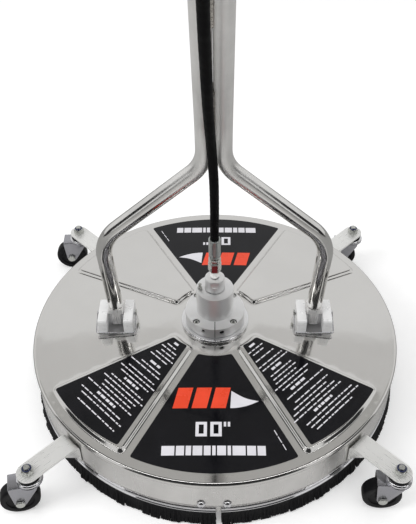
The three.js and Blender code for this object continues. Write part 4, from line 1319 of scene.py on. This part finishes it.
def card(name, place, width, depth, look, turn):
    """A flat card that only reflections see."""
    thing = flat(name, width, depth, look)
    thing.location = HUB + Vector(place)
    thing.rotation_euler = [radians(a) for a in turn]
    thing.visible_camera = thing.visible_diffuse = thing.visible_shadow = False
    return thing


def light(name, place, aim, width, power, height=None, mirrored=True):
    data = bpy.data.lights.new(name, "AREA")
    data.shape, data.size, data.size_y, data.energy = "RECTANGLE", width, height or width, power
    lamp = added(name, data)
    lamp.location = HUB + Vector(place)
    lamp.rotation_euler = (Vector(aim) - Vector(place)).to_track_quat("-Z", "Y").to_euler()
    lamp.visible_camera, lamp.visible_glossy = False, mirrored


CARD_COLOURS = {"dark": (0.02, 0.02, 0.021), "grey": (0.42, 0.415, 0.405), "shade": (0.32, 0.32, 0.315),
                "pale": (0.60, 0.595, 0.59)}
LEVEL, UPRIGHT, SIDEWAYS = (0, 0, 0), (90, 0, 0), (90, 0, 90)
CARDS = (
    ("operator", (0, -1.8, 1.9), 3.4, 3.6, "dark", UPRIGHT),
    ("left", (-1.9, -0.7, 0.55), 1.0, 1.0, "dark", SIDEWAYS),
    ("right", (1.9, -0.7, 0.55), 1.0, 1.0, "dark", SIDEWAYS),
    ("ceiling", (0, -0.6, 3.3), 8.0, 2.6, "dark", LEVEL),
    ("overhead", (0, 1.4, 3.3), 8.0, 1.4, "grey", LEVEL),
    ("overhead_back", (0, 2.5, 3.3), 8.0, 0.8, "pale", LEVEL),
    ("floor", (0, 0, 0.0004), 12, 12, "shade", LEVEL),
    ("floor_front", (0, -2.2, 0.0008), 1.5, 3.2, "grey", LEVEL),
    ("floor_near", (0, -0.1, 0.0012), 0.72, 1.1, "pale", LEVEL),
)


def make_studio():
    """A white floor and sky, two softboxes, and the cards that the metal reflects."""
    floor = flat("floor", 16, 16, floor_paint)
    floor.location = (0, 0, -0.0005)
    looks = {name: dull(f"card_{name}", colour, 0.9, light=1.1, scale=4, relief=0.01)
             for name, colour in CARD_COLOURS.items()}
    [card(f"card_{name}", place, width, depth, looks[look], turn)
                      for name, place, width, depth, look, turn in CARDS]
    world = bpy.data.worlds.new("studio")
    bpy.context.scene.world = world
    world.use_nodes = True
    sky = world.node_tree.nodes["Background"]
    sky.inputs[0].default_value, sky.inputs[1].default_value = (1, 1, 1, 1), 0.72
    light("softbox_top", (0, -0.75, 3.0), (0, -0.3, 0.1), 6.0, 22, 0.3)
    light("softbox_left", (-2.2, -1.0, 2.4), (0, 0, 0.2), 1.2, 28, mirrored=False)
    bpy.context.scene.view_settings.view_transform = "Standard"


# ---------------------------------------------------------------- everything, cords first
make_camera()
add_hose()
add_deck()
add_title_label("front_label", 0)
add_title_label("back_label", 180)
add_notice_label("left_label", 1)
add_notice_label("right_label", -1)
add_swivel()
add_rotor()
add_handle()
add_brackets()
for caster in CASTERS:
    add_caster(*caster)
make_studio()
